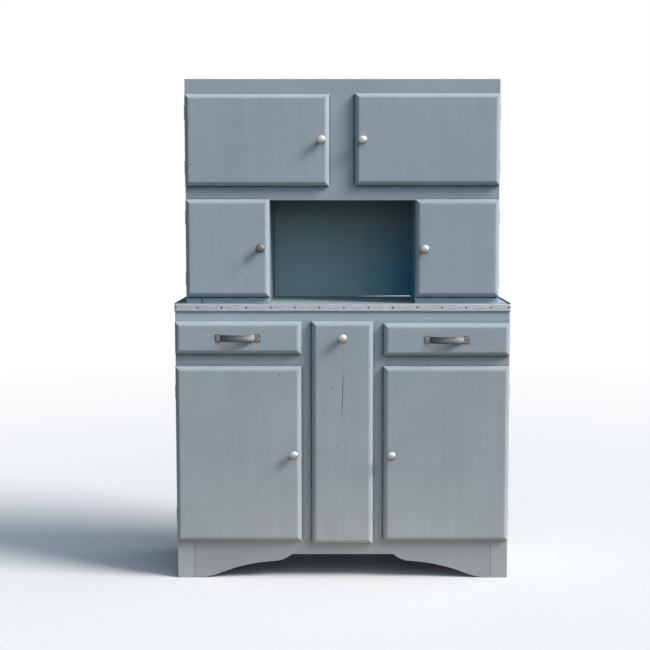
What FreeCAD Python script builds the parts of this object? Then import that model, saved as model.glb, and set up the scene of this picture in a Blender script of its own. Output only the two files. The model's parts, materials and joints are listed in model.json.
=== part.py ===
import FreeCAD, Part
import Sketcher
import math
import os
from types import SimpleNamespace

# Kitchen hutch: a painted cupboard with a metal-edged worktop, and a narrower hutch standing on it.
# Millimetres, +Z up, +X to the right as seen from the front, the front faces -Y.
# The origin is on the floor, under the middle of the whole piece.

SIZES = {
    # Base cabinet, from the floor up
    "base_width": 1200,
    "base_depth": 420,
    "apron_height": 148,
    "lower_opening_height": 623.5,
    "drawer_rail_height": 54.5,
    "drawer_opening_height": 103,
    "base_top_rail_height": 49,
    "frame_thickness": 25,
    "post_width": 60,
    "bin_opening_width": 190,
    "inner_stile_width": 67.5,
    "side_thickness": 18,
    "shelf_thickness": 18,
    "back_thickness": 6,
    "back_lift": 100,
    "side_lift": 60,
    "rear_foot_depth": 60,
    "shelf_rise": 300,
    "shelf_setback": 15,
    "cleat_size": 20,
    # Apron outline
    "arch_height": 87,
    "arch_half_flat": 185,
    "lobe_half_width": 244,
    "lobe_height": 61.5,
    "lobe_radius": 95,
    "apron_curve_radius": 630,
    "flare_half_width": 440,
    "flare_height": 19.5,
    "flare_radius": 270,
    "apron_foot": 30,
    # Worktop
    "worktop_thickness": 22,
    "worktop_overhang": 3,
    "edging_thickness": 2,
    "edging_drop": 3,
    "side_edging_lip": 4,
    "nail_margin": 75,
    "nail_shift": 5,
    "nail_end_inset": 6.5,
    "nail_radius": 2.4,
    "nail_head": 0.8,
    # Hutch, from the worktop up
    "hutch_inset": 36,
    "hutch_setback": 55,
    "hutch_frame_thickness": 22,
    "hutch_stile_width": 55,
    "cupboard_rail_height": 28,
    "cupboard_opening_height": 343,
    "niche_rail_height": 58.5,
    "upper_opening_height": 310.5,
    "hutch_top_rail_height": 62,
    "centre_stile_width": 108,
    "niche_width": 525,
    "hutch_back_gap": 3,
    # Door, drawer and bin fronts
    "panel_thickness": 22,
    "panel_gap": 2,
    "panel_bevel": 15,
    "bevel_radius": 20,
    "rail_overlap": 7,
    "stile_overlap": 15,
    "hutch_overlap": 8,
    "cupboard_overlap": 4,
    "upper_right_lift": 2.5,
    "upper_gap_shift": 2,
    "drawer_front_height": 117.5,
    "drawer_sill_overlap": 4,
    "right_drawer_drop": 6.5,
    "bin_sill_overlap": 17.5,
    "bin_top_overlap": 11,
    # Knobs
    "knob_projection": 28,
    "knob_radius": 16.5,
    "knob_foot_radius": 9,
    "knob_foot_height": 2,
    "knob_rim": 4,
    "knob_dome": 5,
    "knob_neck_curve": 12,
    "knob_inset": 27.5,
    "small_knob_inset": 32,
    "right_knob_drop": 3,
    "bin_knob_drop": 60,
    # Strap handles of the drawers
    "handle_length": 161,
    "handle_plate_length": 18,
    "handle_plate_thickness": 2,
    "handle_projection": 24,
    "strap_thickness": 2.2,
    "strap_width": 28,
    # Butt hinges, with the pin in the gap between panel and frame
    "leaf_length": 48,
    "leaf_width": 16,
    "leaf_play": 0.2,
    "barrel_radius": 2.5,
    "barrel_play": 0.4,
    "knuckle_play": 0.4,
    "pin_radius": 1.2,
    "pin_play": 0.05,
    "base_hinge_inset": 95,
    "hutch_hinge_inset": 65,
    "bin_hinge_spread": 62,
    # Slot catches at the door stiles
    "catch_width": 14,
    "catch_depth": 20,
    "catch_height": 26,
    "catch_setback": 2,
    "catch_drop": 60,
    "slot_height": 6,
    "slot_depth": 14,
    "strike_thickness": 1.5,
    "tongue_width": 6,
    "tongue_thickness": 2.4,
    "tongue_clearance": 2,
    # Drawer boxes and their runners
    "drawer_play": 2,
    "drawer_lift": 0.3,
    "drawer_board": 12,
    "drawer_box_height": 98,
    "drawer_rear_clearance": 41,
    "drawer_bottom_thickness": 5,
    "drawer_groove_rise": 8,
    "drawer_groove_depth": 5,
    "runner_height": 25,
    "runner_ledge": 20,
    "guide_height": 30,
    # Tilt-out bin
    "bin_board": 12,
    "bin_play": 4,
    "bin_floor_play": 5,
    "bin_rear_clearance": 40,
    "bin_back_height": 640,
    "bin_rail_clearance": 8,
    "bin_horn_overlap": 36.5,
    "bin_horn_width": 11,
    "bin_stop_clearance": 0.8,
}

document = FreeCAD.newDocument("kitchen_hutch")
sheet = document.addObject("Spreadsheet::Sheet", "size")
for row, (name, value) in enumerate(SIZES.items(), start=1):
    sheet.set(f"A{row}", name)
    sheet.set(f"B{row}", str(value))
    sheet.setAlias(f"B{row}", name)
document.recompute()

sub_parts = []


class Formula:
    """An expression of the document, written with ordinary arithmetic on the sheet's named sizes."""

    def __init__(self, text):
        self.text = text

    def __add__(self, other):
        return Formula(f"({self.text} + {text_of(other)})")

    def __sub__(self, other):
        return Formula(f"({self.text} - {text_of(other)})")

    def __rsub__(self, other):
        return Formula(f"({text_of(other)} - {self.text})")

    def __mul__(self, other):
        return Formula(f"({self.text} * {text_of(other)})")

    def __truediv__(self, other):
        return Formula(f"({self.text} / {text_of(other)})")

    def __neg__(self):
        return Formula(f"(0 - {self.text})")

    __radd__ = __add__
    __rmul__ = __mul__


def text_of(value):
    return value.text if isinstance(value, Formula) else str(value)


def number(value):
    return float(sheet.evalExpression(text_of(value)))


def root(value):
    return Formula(f"sqrt({text_of(value)})")


def sine(value):
    return Formula(f"sin({text_of(value)})")


def cosine(value):
    return Formula(f"cos({text_of(value)})")


def arcsine(value):
    return Formula(f"asin({text_of(value)})")


size = SimpleNamespace(**{name: Formula(f"size.{name}") for name in SIZES})

# Places worked out from the sizes

half_base = size.base_width / 2
half_hutch = half_base - size.hutch_inset
half_bin = size.bin_opening_width / 2

face_y = (size.knob_projection + size.panel_thickness + size.panel_gap - size.base_depth) / 2
frame_back_y = face_y + size.frame_thickness
rear_y = face_y + size.base_depth
back_panel_y = rear_y - size.back_thickness
hutch_face_y = face_y + size.hutch_setback
hutch_frame_back_y = hutch_face_y + size.hutch_frame_thickness

apron_top_z = size.apron_height
door_opening_top_z = apron_top_z + size.lower_opening_height
drawer_opening_low_z = door_opening_top_z + size.drawer_rail_height
drawer_opening_top_z = drawer_opening_low_z + size.drawer_opening_height
base_top_z = drawer_opening_top_z + size.base_top_rail_height
worktop_z = base_top_z + size.worktop_thickness

cupboard_low_z = worktop_z + size.cupboard_rail_height
cupboard_top_z = cupboard_low_z + size.cupboard_opening_height
upper_low_z = cupboard_top_z + size.niche_rail_height
upper_top_z = upper_low_z + size.upper_opening_height
hutch_top_z = upper_top_z + size.hutch_top_rail_height

post_inner_x = half_base - size.post_width
side_inner_x = half_base - size.side_thickness
stile_edge_x = half_bin + size.inner_stile_width
partition_x = stile_edge_x - size.side_thickness
hutch_stile_edge_x = half_hutch - size.hutch_stile_width
hutch_side_inner_x = half_hutch - size.side_thickness
niche_half = size.niche_width / 2
niche_wall_outer_x = niche_half + size.side_thickness
centre_stile_edge_x = size.centre_stile_width / 2

ORIGIN = FreeCAD.Vector(0, 0, 0)
UPRIGHT = FreeCAD.Vector(0, 0, 1)
ACROSS = FreeCAD.Vector(1, 0, 0)
LENGTHWISE = FreeCAD.Vector(0, 1, 0)
NO_TURN = FreeCAD.Rotation()
HALF_TURN = FreeCAD.Rotation(LENGTHWISE, 180)
LYING = FreeCAD.Rotation(LENGTHWISE, -90)
THROUGH = 10

# Helpers


def bind(item, formulas):
    for property_name, formula in formulas.items():
        item.setExpression(property_name, text_of(formula))
    return item


def place(item, x, y, z):
    return bind(item, {"Placement.Base.x": x, "Placement.Base.y": y, "Placement.Base.z": z})


def sub_part(item, label):
    item.Label = label
    sub_parts.append(item)
    return item


def box(name, corner, extent):
    item = document.addObject("Part::Box", name)
    bind(item, {"Length": extent[0], "Width": extent[1], "Height": extent[2]})
    return place(item, *corner)


def rod(name, base, radius, length, turn=NO_TURN):
    item = document.addObject("Part::Cylinder", name)
    item.Placement = FreeCAD.Placement(ORIGIN, turn)
    bind(item, {"Radius": radius, "Height": length})
    return place(item, *base)


def compound(name, items):
    item = document.addObject("Part::Compound", name)
    item.Links = items
    return item


def fused(name, items):
    item = document.addObject("Part::MultiFuse", name)
    item.Shapes = items
    return item


def cut(name, base, tools):
    item = document.addObject("Part::Cut", name)
    item.Base = base
    item.Tool = compound(name + "_tools", tools)
    return item


def copy_of(master, name, base, turn=NO_TURN):
    """A linked copy of a master shape, moved to its place."""
    link = document.addObject("App::Link", name)
    link.LinkedObject = master
    link.LinkPlacement = FreeCAD.Placement(ORIGIN, turn)
    axes = ("x", "y", "z")
    bind(link, {f"LinkPlacement.Base.{axis}": value for axis, value in zip(axes, base)})
    return link


def board(label, corner, extent):
    return sub_part(box("board_" + label, corner, extent), label)


def two_boxes(name, inner_x, y, z, extent):
    """A right-hand box and its left-hand twin, both at the same distance from the middle."""
    right = box(name + "_right", (inner_x, y, z), extent)
    left = box(name + "_left", (-inner_x - extent[0], y, z), extent)
    return [left, right]


def board_pair(label, inner_x, y, z, extent):
    return sub_part(compound("pair_" + label, two_boxes(label, inner_x, y, z, extent)), label)


def new_body(name):
    return document.addObject("PartDesign::Body", name)


def arc_between(start, end, radius, turns_left):
    """The short arc from start to end that bulges to the right of its chord when turns_left is set."""
    chord = end - start
    half = chord.Length / 2
    side = FreeCAD.Vector(-chord.y, chord.x, 0).normalize()
    reach = math.sqrt(max(radius * radius - half * half, 0))
    centre = (start + end) * 0.5 + side * (reach if turns_left else -reach)
    first, last = (start, end) if turns_left else (end, start)
    angles = [math.atan2(point.y - centre.y, point.x - centre.x) for point in (first, last)]
    if angles[1] < angles[0]:
        angles[1] += 2 * math.pi
    return Part.ArcOfCircle(Part.Circle(centre, UPRIGHT, radius), *angles)


def add_outline(sketch, corners, arcs=None):
    """A closed outline through the corners; arcs maps an edge's number to its radius and turn."""
    arcs = arcs or {}
    points = [FreeCAD.Vector(number(x), number(y), 0) for x, y in corners]
    first_edge = sketch.GeometryCount
    count = len(points)
    ends = []
    for index, start in enumerate(points):
        end = points[(index + 1) % count]
        if index in arcs:
            radius, turns_left = arcs[index]
            sketch.addGeometry(arc_between(start, end, number(radius), turns_left))
            ends.append((1, 2) if turns_left else (2, 1))
        else:
            sketch.addGeometry(Part.LineSegment(start, end))
            ends.append((1, 2))
    for index, (x, y) in enumerate(corners):
        edge = first_edge + index
        following = (index + 1) % count
        sketch.addConstraint(Sketcher.Constraint(
            "Coincident", edge, ends[index][1], first_edge + following, ends[following][0]))
        for kind, formula, value in (("DistanceX", x, points[index].x), ("DistanceY", y, points[index].y)):
            held = sketch.addConstraint(Sketcher.Constraint(kind, -1, 1, edge, ends[index][0], value))
            sketch.setExpression(f"Constraints[{held}]", text_of(formula))
        if index in arcs:
            held = sketch.addConstraint(Sketcher.Constraint("Radius", edge, number(arcs[index][0])))
            sketch.setExpression(f"Constraints[{held}]", text_of(arcs[index][0]))


def new_sketch(body, role, name, lift=0):
    """A sketch on one of the body's origin planes, raised along the plane's normal."""
    sketch = body.newObject("Sketcher::SketchObject", name)
    plane = next(feature for feature in body.Origin.OriginFeatures if feature.Role == role)
    sketch.AttachmentSupport = (plane, "")
    sketch.MapMode = "FlatFace"
    sketch.setExpression("AttachmentOffset.Base.z", text_of(lift))
    return sketch


def pad(body, sketch, length, side="One side", backwards=False):
    feature = body.newObject("PartDesign::Pad", sketch.Name + "_pad")
    feature.Profile = sketch
    feature.SideType = side
    feature.Reversed = backwards
    feature.setExpression("Length", text_of(length))
    return feature


# Bevelled fronts: a plan outline padded upwards, then the top and bottom bevels cut across it


def bevelled_panel(name, corner, width, height):
    body = new_body(name)
    thickness = size.panel_thickness
    bevel = size.panel_bevel
    edge = thickness - bevel
    plan = new_sketch(body, "XY_Plane", name + "_plan")
    plan_corners = [
        (0, 0),
        (width, 0),
        (width, -edge),
        (width - bevel, -thickness),
        (bevel, -thickness),
        (0, -edge),
    ]
    add_outline(plan, plan_corners, {2: (size.bevel_radius, False), 4: (size.bevel_radius, False)})
    pad(body, plan, height)
    profile = new_sketch(body, "YZ_Plane", name + "_profile")
    beyond = thickness + THROUGH
    low_waste = [(-edge, 0), (-thickness, bevel), (-beyond, bevel), (-beyond, -THROUGH), (-edge, -THROUGH)]
    high_waste = [
        (-edge, height),
        (-edge, height + THROUGH),
        (-beyond, height + THROUGH),
        (-beyond, height - bevel),
        (-thickness, height - bevel),
    ]
    add_outline(profile, low_waste, {0: (size.bevel_radius, False)})
    add_outline(profile, high_waste, {4: (size.bevel_radius, False)})
    bevels = body.newObject("PartDesign::Pocket", name + "_bevels")
    bevels.Profile = profile
    bevels.Type = "ThroughAll"
    bevels.SideType = "Symmetric"
    return place(body, *corner)


# Knobs: one turned profile each


def knob(label, x, y, z):
    body = new_body("knob_" + label)
    profile = new_sketch(body, "XY_Plane", label + "_profile")
    rim_front = size.knob_projection - size.knob_dome
    rim_back = rim_front - size.knob_rim
    dome_squares = size.knob_radius * size.knob_radius + size.knob_dome * size.knob_dome
    dome_radius = dome_squares / (2 * size.knob_dome)
    corners = [
        (0, 0),
        (size.knob_foot_radius, 0),
        (size.knob_foot_radius, -size.knob_foot_height),
        (size.knob_radius, -rim_back),
        (size.knob_radius, -rim_front),
        (0, -size.knob_projection),
    ]
    add_outline(profile, corners, {2: (size.knob_neck_curve, True), 4: (dome_radius, False)})
    turned = body.newObject("PartDesign::Revolution", label + "_turned")
    turned.Profile = profile
    turned.ReferenceAxis = (profile, ["V_Axis"])
    turned.Angle = 360
    return sub_part(place(body, x, y, z), label)


# Strap handles: two flat end plates and one bow between them


def strap_handle(label, x, y, z):
    body = new_body("handle_" + label)
    plan = new_sketch(body, "XY_Plane", label + "_plan")
    half_length = size.handle_length / 2
    half_bow = half_length - size.handle_plate_length
    plate = size.handle_plate_thickness
    rise = size.handle_projection - plate
    outer_radius = (half_bow * half_bow + rise * rise) / (2 * rise)
    centre = outer_radius - size.handle_projection
    inner_radius = outer_radius - size.strap_thickness
    half_gap = root(inner_radius * inner_radius - centre * centre)
    corners = [
        (-half_length, 0),
        (-half_gap, 0),
        (half_gap, 0),
        (half_length, 0),
        (half_length, -plate),
        (half_bow, -plate),
        (-half_bow, -plate),
        (-half_length, -plate),
    ]
    add_outline(plan, corners, {1: (inner_radius, True), 5: (outer_radius, False)})
    pad(body, plan, size.strap_width, side="Symmetric")
    return sub_part(place(body, x, y, z), label)


# Hinge masters: the pin runs along local Z, the leaves reach along local X, the frame is on the +Y side

third = size.leaf_length / 3
knuckle_end = third - size.knuckle_play / 2
next_knuckle = third + size.knuckle_play / 2
bore_radius = size.pin_radius + size.pin_play
clear_radius = size.barrel_radius + size.barrel_play
leaf_thickness = (size.panel_gap - size.leaf_play) / 2


def hinge_leaf(name, leaf_y, knuckles, clearances):
    """One leaf: a plate with its knuckles, bored for the pin and cut clear of the other leaf."""
    plate = box(name + "_plate", (0, leaf_y, 0), (size.leaf_width, leaf_thickness, size.leaf_length))
    rolls = [
        rod(f"{name}_knuckle_{index}", (0, 0, low), size.barrel_radius, high - low)
        for index, (low, high) in enumerate(knuckles)
    ]
    bore = rod(name + "_bore", (0, 0, -THROUGH), bore_radius, size.leaf_length + 2 * THROUGH)
    gaps = [
        rod(f"{name}_clear_{index}", (0, 0, low), clear_radius, high - low)
        for index, (low, high) in enumerate(clearances)
    ]
    return cut(name, fused(name + "_rolled", [plate] + rolls), [fused(name + "_cuts", [bore] + gaps)])


far_knuckle = size.leaf_length - next_knuckle
far_end = size.leaf_length - knuckle_end
frame_leaf = hinge_leaf(
    "frame_leaf",
    size.leaf_play / 2,
    [(Formula("0"), knuckle_end), (far_end, size.leaf_length)],
    [(knuckle_end, far_end)],
)
panel_leaf = hinge_leaf(
    "panel_leaf",
    -size.panel_gap / 2,
    [(next_knuckle, far_knuckle)],
    [(Formula(f"-{THROUGH}"), next_knuckle), (far_knuckle, size.leaf_length + THROUGH)],
)
hinge_pin = rod("hinge_pin", (0, 0, 0), size.pin_radius, size.leaf_length)

frame_hinges = []


def barrel_notch(name, base, turn=NO_TURN):
    return rod(name, base, clear_radius, size.leaf_length + 2 * size.knuckle_play, turn)


def upright_hinge(name, x, y, middle_z, on_right):
    """Fits a hinge with an upright pin; returns the panel's leaf and the notch for the barrel."""
    turn = HALF_TURN if on_right else NO_TURN
    low_z = middle_z - size.leaf_length / 2
    base = (x, y, middle_z + size.leaf_length / 2 if on_right else low_z)
    frame_hinges.append(copy_of(frame_leaf, name + "_frame_leaf", base, turn))
    frame_hinges.append(copy_of(hinge_pin, name + "_pin", base, turn))
    leaf = copy_of(panel_leaf, name + "_panel_leaf", base, turn)
    return leaf, (x, y, low_z - size.knuckle_play)


# Catch masters: a slotted block on the frame and a tongue on the door, both starting at the stile's edge

tongue_length = size.panel_gap + size.catch_setback + size.slot_depth - size.tongue_clearance
catch_block = cut(
    "catch_block",
    box(
        "catch_blank",
        (0, 0, -size.catch_height / 2),
        (size.catch_width, size.catch_depth, size.catch_height),
    ),
    [
        box(
            "catch_slot",
            (-THROUGH, -THROUGH, -size.slot_height / 2),
            (size.catch_width + 2 * THROUGH, size.slot_depth + THROUGH, size.slot_height),
        )
    ],
)
strike = fused(
    "strike",
    [
        box(
            "strike_plate",
            (0, 0, -size.catch_height / 2),
            (size.catch_width, size.strike_thickness, size.catch_height),
        ),
        box(
            "strike_tongue",
            ((size.catch_width - size.tongue_width) / 2, 0, -size.tongue_thickness / 2),
            (size.tongue_width, tongue_length, size.tongue_thickness),
        ),
    ],
)
catches = []

# Doors: slab, knob and fittings on each; the frame's notches are kept for the posts and corner stiles

frame_notches = {"base_left": [], "base_right": [], "hutch_left": [], "hutch_right": []}


def door(name, side, unit, frame_y, outer_x, inner_x, low_z, high_z, stile_x, hinge_inset, knob_inset):
    on_right = side == "right"
    back_y = frame_y - size.panel_gap
    pin_y = frame_y - size.panel_gap / 2
    width = outer_x - inner_x
    left_x = inner_x if on_right else -outer_x
    hinge_x = outer_x if on_right else -outer_x
    slab = bevelled_panel(name + "_slab", (left_x, back_y, low_z), width, high_z - low_z)
    fittings = []
    notches = []
    for place_name, middle_z in (("low", low_z + hinge_inset), ("high", high_z - hinge_inset)):
        hinge_name = f"{name}_{place_name}_hinge"
        leaf, notch = upright_hinge(hinge_name, hinge_x, pin_y, middle_z, on_right)
        fittings.append(leaf)
        notches.append(barrel_notch(hinge_name + "_notch", notch))
        frame_notches[f"{unit}_{side}"].append(barrel_notch(hinge_name + "_frame_notch", notch))
    sub_part(cut(name + "_notched", slab, notches), f"{name}_door")
    catch_x = stile_x if on_right else -stile_x - size.catch_width
    catch_z = high_z - size.catch_drop
    catches.append(copy_of(catch_block, name + "_catch", (catch_x, frame_y + size.catch_setback, catch_z)))
    fittings.append(copy_of(strike, name + "_strike", (catch_x, back_y, catch_z)))
    sub_part(compound(name + "_fittings", fittings), f"{name}_door_fittings")
    knob_x = inner_x + knob_inset
    knob_z = (low_z + high_z) / 2
    if on_right:
        knob_z = knob_z - size.right_knob_drop
    knob(f"{name}_door_knob", knob_x if on_right else -knob_x, back_y - size.panel_thickness, knob_z)


upper_lift = {"left": 0, "right": size.upper_right_lift}
upper_gap_shift = {"left": size.upper_gap_shift, "right": -size.upper_gap_shift}
for side in ("left", "right"):
    upper_door_low_z = upper_low_z - size.hutch_overlap + upper_lift[side]
    upper_door_high_z = upper_top_z + size.hutch_overlap + upper_lift[side]
    upper_door_inner_x = centre_stile_edge_x - size.hutch_overlap + upper_gap_shift[side]
    door(
        f"upper_{side}", side, "hutch", hutch_face_y, half_hutch, upper_door_inner_x,
        upper_door_low_z, upper_door_high_z, centre_stile_edge_x,
        size.hutch_hinge_inset, size.knob_inset,
    )
    door(
        f"small_{side}", side, "hutch", hutch_face_y, half_hutch, niche_half,
        cupboard_low_z - size.cupboard_overlap, cupboard_top_z + size.cupboard_overlap, niche_wall_outer_x,
        size.hutch_hinge_inset, size.small_knob_inset,
    )
    door(
        f"lower_{side}", side, "base", face_y, half_base, stile_edge_x - size.stile_overlap,
        apron_top_z - size.rail_overlap, door_opening_top_z + size.rail_overlap, stile_edge_x,
        size.base_hinge_inset, size.knob_inset,
    )

# Drawers: a bevelled front with a grooved box behind it

drawer_drop = {"left": 0, "right": size.right_drawer_drop}
drawer_low_z = drawer_opening_low_z + size.drawer_lift
drawer_inner_x = stile_edge_x + size.drawer_play
drawer_outer_x = post_inner_x - size.drawer_play
drawer_back_y = face_y - size.panel_gap
drawer_box_depth = back_panel_y - size.drawer_rear_clearance - drawer_back_y
groove_z = drawer_low_z + size.drawer_groove_rise
box_inner_low = drawer_inner_x + size.drawer_board
box_inner_high = drawer_outer_x - size.drawer_board
box_inner_width = box_inner_high - box_inner_low


def drawer(side):
    on_right = side == "right"

    def mirrored(low_x, width):
        return low_x if on_right else -low_x - width

    front_low_x = stile_edge_x - size.stile_overlap
    front_width = half_base - front_low_x
    front_height = size.drawer_front_height
    front_low_z = drawer_opening_low_z - size.drawer_sill_overlap - drawer_drop[side]
    front_corner = (mirrored(front_low_x, front_width), drawer_back_y, front_low_z)
    slab = bevelled_panel(f"{side}_drawer_slab", front_corner, front_width, front_height)
    sub_part(slab, f"{side}_drawer_front")
    middle_x = front_low_x + front_width / 2
    strap_handle(
        f"{side}_drawer_handle",
        middle_x if on_right else -middle_x,
        drawer_back_y - size.panel_thickness,
        front_low_z + front_height / 2,
    )
    bottom_width = box_inner_width + 2 * size.drawer_groove_depth
    bottom_x = mirrored(box_inner_low - size.drawer_groove_depth, bottom_width)
    bottom_extent = (bottom_width, drawer_box_depth, size.drawer_bottom_thickness)
    bottom_corner = (bottom_x, drawer_back_y, groove_z)
    walls = []
    for wall_name, low_x in (("inner", drawer_inner_x), ("outer", box_inner_high)):
        name = f"{side}_drawer_{wall_name}_wall"
        blank = box(
            name + "_blank",
            (mirrored(low_x, size.drawer_board), drawer_back_y, drawer_low_z),
            (size.drawer_board, drawer_box_depth, size.drawer_box_height),
        )
        walls.append(cut(name, blank, [box(name + "_groove", bottom_corner, bottom_extent)]))
    back_z = groove_z + size.drawer_bottom_thickness
    back_wall_y = drawer_back_y + drawer_box_depth - size.drawer_board
    walls.append(box(
        f"{side}_drawer_back_wall",
        (mirrored(box_inner_low, box_inner_width), back_wall_y, back_z),
        (box_inner_width, size.drawer_board, drawer_low_z + size.drawer_box_height - back_z),
    ))
    sub_part(compound(f"{side}_drawer_walls_group", walls), f"{side}_drawer_walls")
    board(f"{side}_drawer_bottom", bottom_corner, bottom_extent)


for side in ("left", "right"):
    drawer(side)

# Tilt-out bin: turns about the pin line at the lower back edge of its front

bin_pin_y = face_y - size.panel_gap / 2
bin_pin_z = apron_top_z - size.bin_sill_overlap
bin_front_back_y = face_y - size.panel_gap
bin_front_half = half_bin + size.stile_overlap
bin_front_top_z = drawer_opening_top_z + size.bin_top_overlap
bin_outer_x = half_bin - size.bin_play
bin_inner_x = bin_outer_x - size.bin_board
bin_floor = size.bin_sill_overlap + size.bin_floor_play
bin_depth = back_panel_y - size.bin_rear_clearance - bin_pin_y
bin_rail_height = drawer_opening_top_z - bin_pin_z
bin_sweep = bin_rail_height - size.bin_rail_clearance
bin_horn = bin_rail_height + size.bin_horn_overlap
bin_stop = size.frame_thickness + size.panel_gap / 2 + size.bin_stop_clearance
bin_tilt = arcsine((bin_depth - size.bin_horn_width) / bin_horn) - arcsine(bin_stop / bin_horn)

bin_notches = []
apron_notches = []
bin_leaves = []
for place_name, direction in (("left", -1), ("right", 1)):
    hinge_name = f"bin_{place_name}_hinge"
    end_x = direction * size.bin_hinge_spread + size.leaf_length / 2
    base = (end_x, bin_pin_y, bin_pin_z)
    notch_base = (end_x + size.knuckle_play, bin_pin_y, bin_pin_z)
    frame_hinges.append(copy_of(frame_leaf, hinge_name + "_frame_leaf", base, LYING))
    frame_hinges.append(copy_of(hinge_pin, hinge_name + "_pin", base, LYING))
    bin_leaves.append(copy_of(panel_leaf, hinge_name + "_panel_leaf", base, LYING))
    bin_notches.append(barrel_notch(hinge_name + "_notch", notch_base, LYING))
    apron_notches.append(barrel_notch(hinge_name + "_frame_notch", notch_base, LYING))

bin_slab = bevelled_panel(
    "bin_slab",
    (-bin_front_half, bin_front_back_y, bin_pin_z),
    2 * bin_front_half,
    bin_front_top_z - bin_pin_z,
)
sub_part(cut("bin_slab_notched", bin_slab, bin_notches), "bin_front")
sub_part(compound("bin_leaves", bin_leaves), "bin_hinge_leaves")
knob("bin_knob", 0, bin_front_back_y - size.panel_thickness, bin_front_top_z - size.bin_knob_drop)


def turned_back(forward, up):
    """Where a point of the fully tilted bin lies when the bin is shut, from the pin line."""
    back = forward * cosine(bin_tilt) + up * sine(bin_tilt)
    height = up * cosine(bin_tilt) - forward * sine(bin_tilt)
    return back, height


def bin_side(name, low_x):
    """A sector-shaped side; the horn at its rear top comes against the top rail when the bin is open."""
    corners = [
        (-size.panel_gap / 2, bin_floor),
        (bin_depth, bin_floor),
        (bin_depth, root(bin_horn * bin_horn - bin_depth * bin_depth)),
        turned_back(bin_stop, root(bin_horn * bin_horn - bin_stop * bin_stop)),
        turned_back(bin_stop, root(bin_sweep * bin_sweep - bin_stop * bin_stop)),
        (-size.panel_gap / 2, root(bin_sweep * bin_sweep - size.panel_gap * size.panel_gap / 4)),
    ]
    body = new_body(name)
    outline = new_sketch(body, "YZ_Plane", name + "_outline")
    add_outline(outline, corners, {2: (bin_horn, True), 4: (bin_sweep, True)})
    pad(body, outline, size.bin_board)
    return place(body, low_x, bin_pin_y, bin_pin_z)


bin_side_pair = [bin_side("bin_left_side", -bin_outer_x), bin_side("bin_right_side", bin_inner_x)]
sub_part(compound("bin_side_pair", bin_side_pair), "bin_sides")
board(
    "bin_bottom",
    (-bin_inner_x, bin_front_back_y, bin_pin_z + bin_floor),
    (2 * bin_inner_x, bin_depth + size.panel_gap / 2 - size.bin_board, size.bin_board),
)
board(
    "bin_back",
    (-bin_inner_x, bin_pin_y + bin_depth - size.bin_board, bin_pin_z + bin_floor),
    (2 * bin_inner_x, size.bin_board, size.bin_back_height),
)

# Base cabinet

posts = []
for side, low_x in (("left", -half_base), ("right", post_inner_x)):
    post = box(f"{side}_post_blank", (low_x, face_y, 0), (size.post_width, size.frame_thickness, base_top_z))
    posts.append(cut(f"{side}_post", post, frame_notches[f"base_{side}"]))
sub_part(compound("base_post_pair", posts), "base_posts")


def base_side(name, low_x):
    body = new_body(name)
    outline = new_sketch(body, "YZ_Plane", name + "_outline")
    foot_y = rear_y - size.rear_foot_depth
    corners = [
        (frame_back_y, size.side_lift),
        (foot_y, size.side_lift),
        (foot_y, 0),
        (rear_y, 0),
        (rear_y, base_top_z),
        (frame_back_y, base_top_z),
    ]
    add_outline(outline, corners)
    pad(body, outline, size.side_thickness)
    return place(body, low_x, 0, 0)


base_side_pair = [base_side("base_left_side", -half_base), base_side("base_right_side", side_inner_x)]
sub_part(compound("base_side_pair", base_side_pair), "base_sides")


def scalloped_apron():
    """The bottom rail: a level middle, then a lobe, a long curve and a flare down to each foot."""
    body = new_body("apron_body")
    outline = new_sketch(body, "XZ_Plane", "apron_outline", -face_y)
    foot_x = post_inner_x - size.apron_foot
    corners = [
        (-post_inner_x, 0),
        (-foot_x, 0),
        (-size.flare_half_width, size.flare_height),
        (-size.lobe_half_width, size.lobe_height),
        (-size.arch_half_flat, size.arch_height),
        (size.arch_half_flat, size.arch_height),
        (size.lobe_half_width, size.lobe_height),
        (size.flare_half_width, size.flare_height),
        (foot_x, 0),
        (post_inner_x, 0),
        (post_inner_x, apron_top_z),
        (-post_inner_x, apron_top_z),
    ]
    long_curve = (size.apron_curve_radius, False)
    lobe = (size.lobe_radius, True)
    flare = (size.flare_radius, True)
    arcs = {1: flare, 2: long_curve, 3: lobe, 5: lobe, 6: long_curve, 7: flare}
    add_outline(outline, corners, arcs)
    pad(body, outline, size.frame_thickness, backwards=True)
    sub_part(cut("apron_notched", body, apron_notches), "base_apron")


scalloped_apron()

inside_depth = back_panel_y - frame_back_y
frame = size.frame_thickness
inner_stile_height = drawer_opening_top_z - apron_top_z
inner_stile_extent = (size.inner_stile_width, frame, inner_stile_height)
board_pair("base_inner_stiles", half_bin, face_y, apron_top_z, inner_stile_extent)
board(
    "base_top_rail",
    (-post_inner_x, face_y, drawer_opening_top_z),
    (2 * post_inner_x, frame, size.base_top_rail_height),
)
drawer_rail_extent = (post_inner_x - stile_edge_x, frame, size.drawer_rail_height)
board_pair("base_drawer_rails", stile_edge_x, face_y, door_opening_top_z, drawer_rail_extent)
board(
    "base_floor",
    (-side_inner_x, frame_back_y, apron_top_z - size.shelf_thickness),
    (2 * side_inner_x, inside_depth, size.shelf_thickness),
)
partition_extent = (size.side_thickness, inside_depth, base_top_z - apron_top_z)
board_pair("base_partitions", partition_x, frame_back_y, apron_top_z, partition_extent)
board(
    "base_back",
    (-side_inner_x, back_panel_y, size.back_lift),
    (2 * side_inner_x, size.back_thickness, base_top_z - size.back_lift),
)
shelf_y = frame_back_y + size.shelf_setback
shelf_z = apron_top_z + size.shelf_rise
shelf_depth = back_panel_y - shelf_y
shelf_extent = (side_inner_x - stile_edge_x, shelf_depth, size.shelf_thickness)
board_pair("base_shelves", stile_edge_x, shelf_y, shelf_z, shelf_extent)

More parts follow.
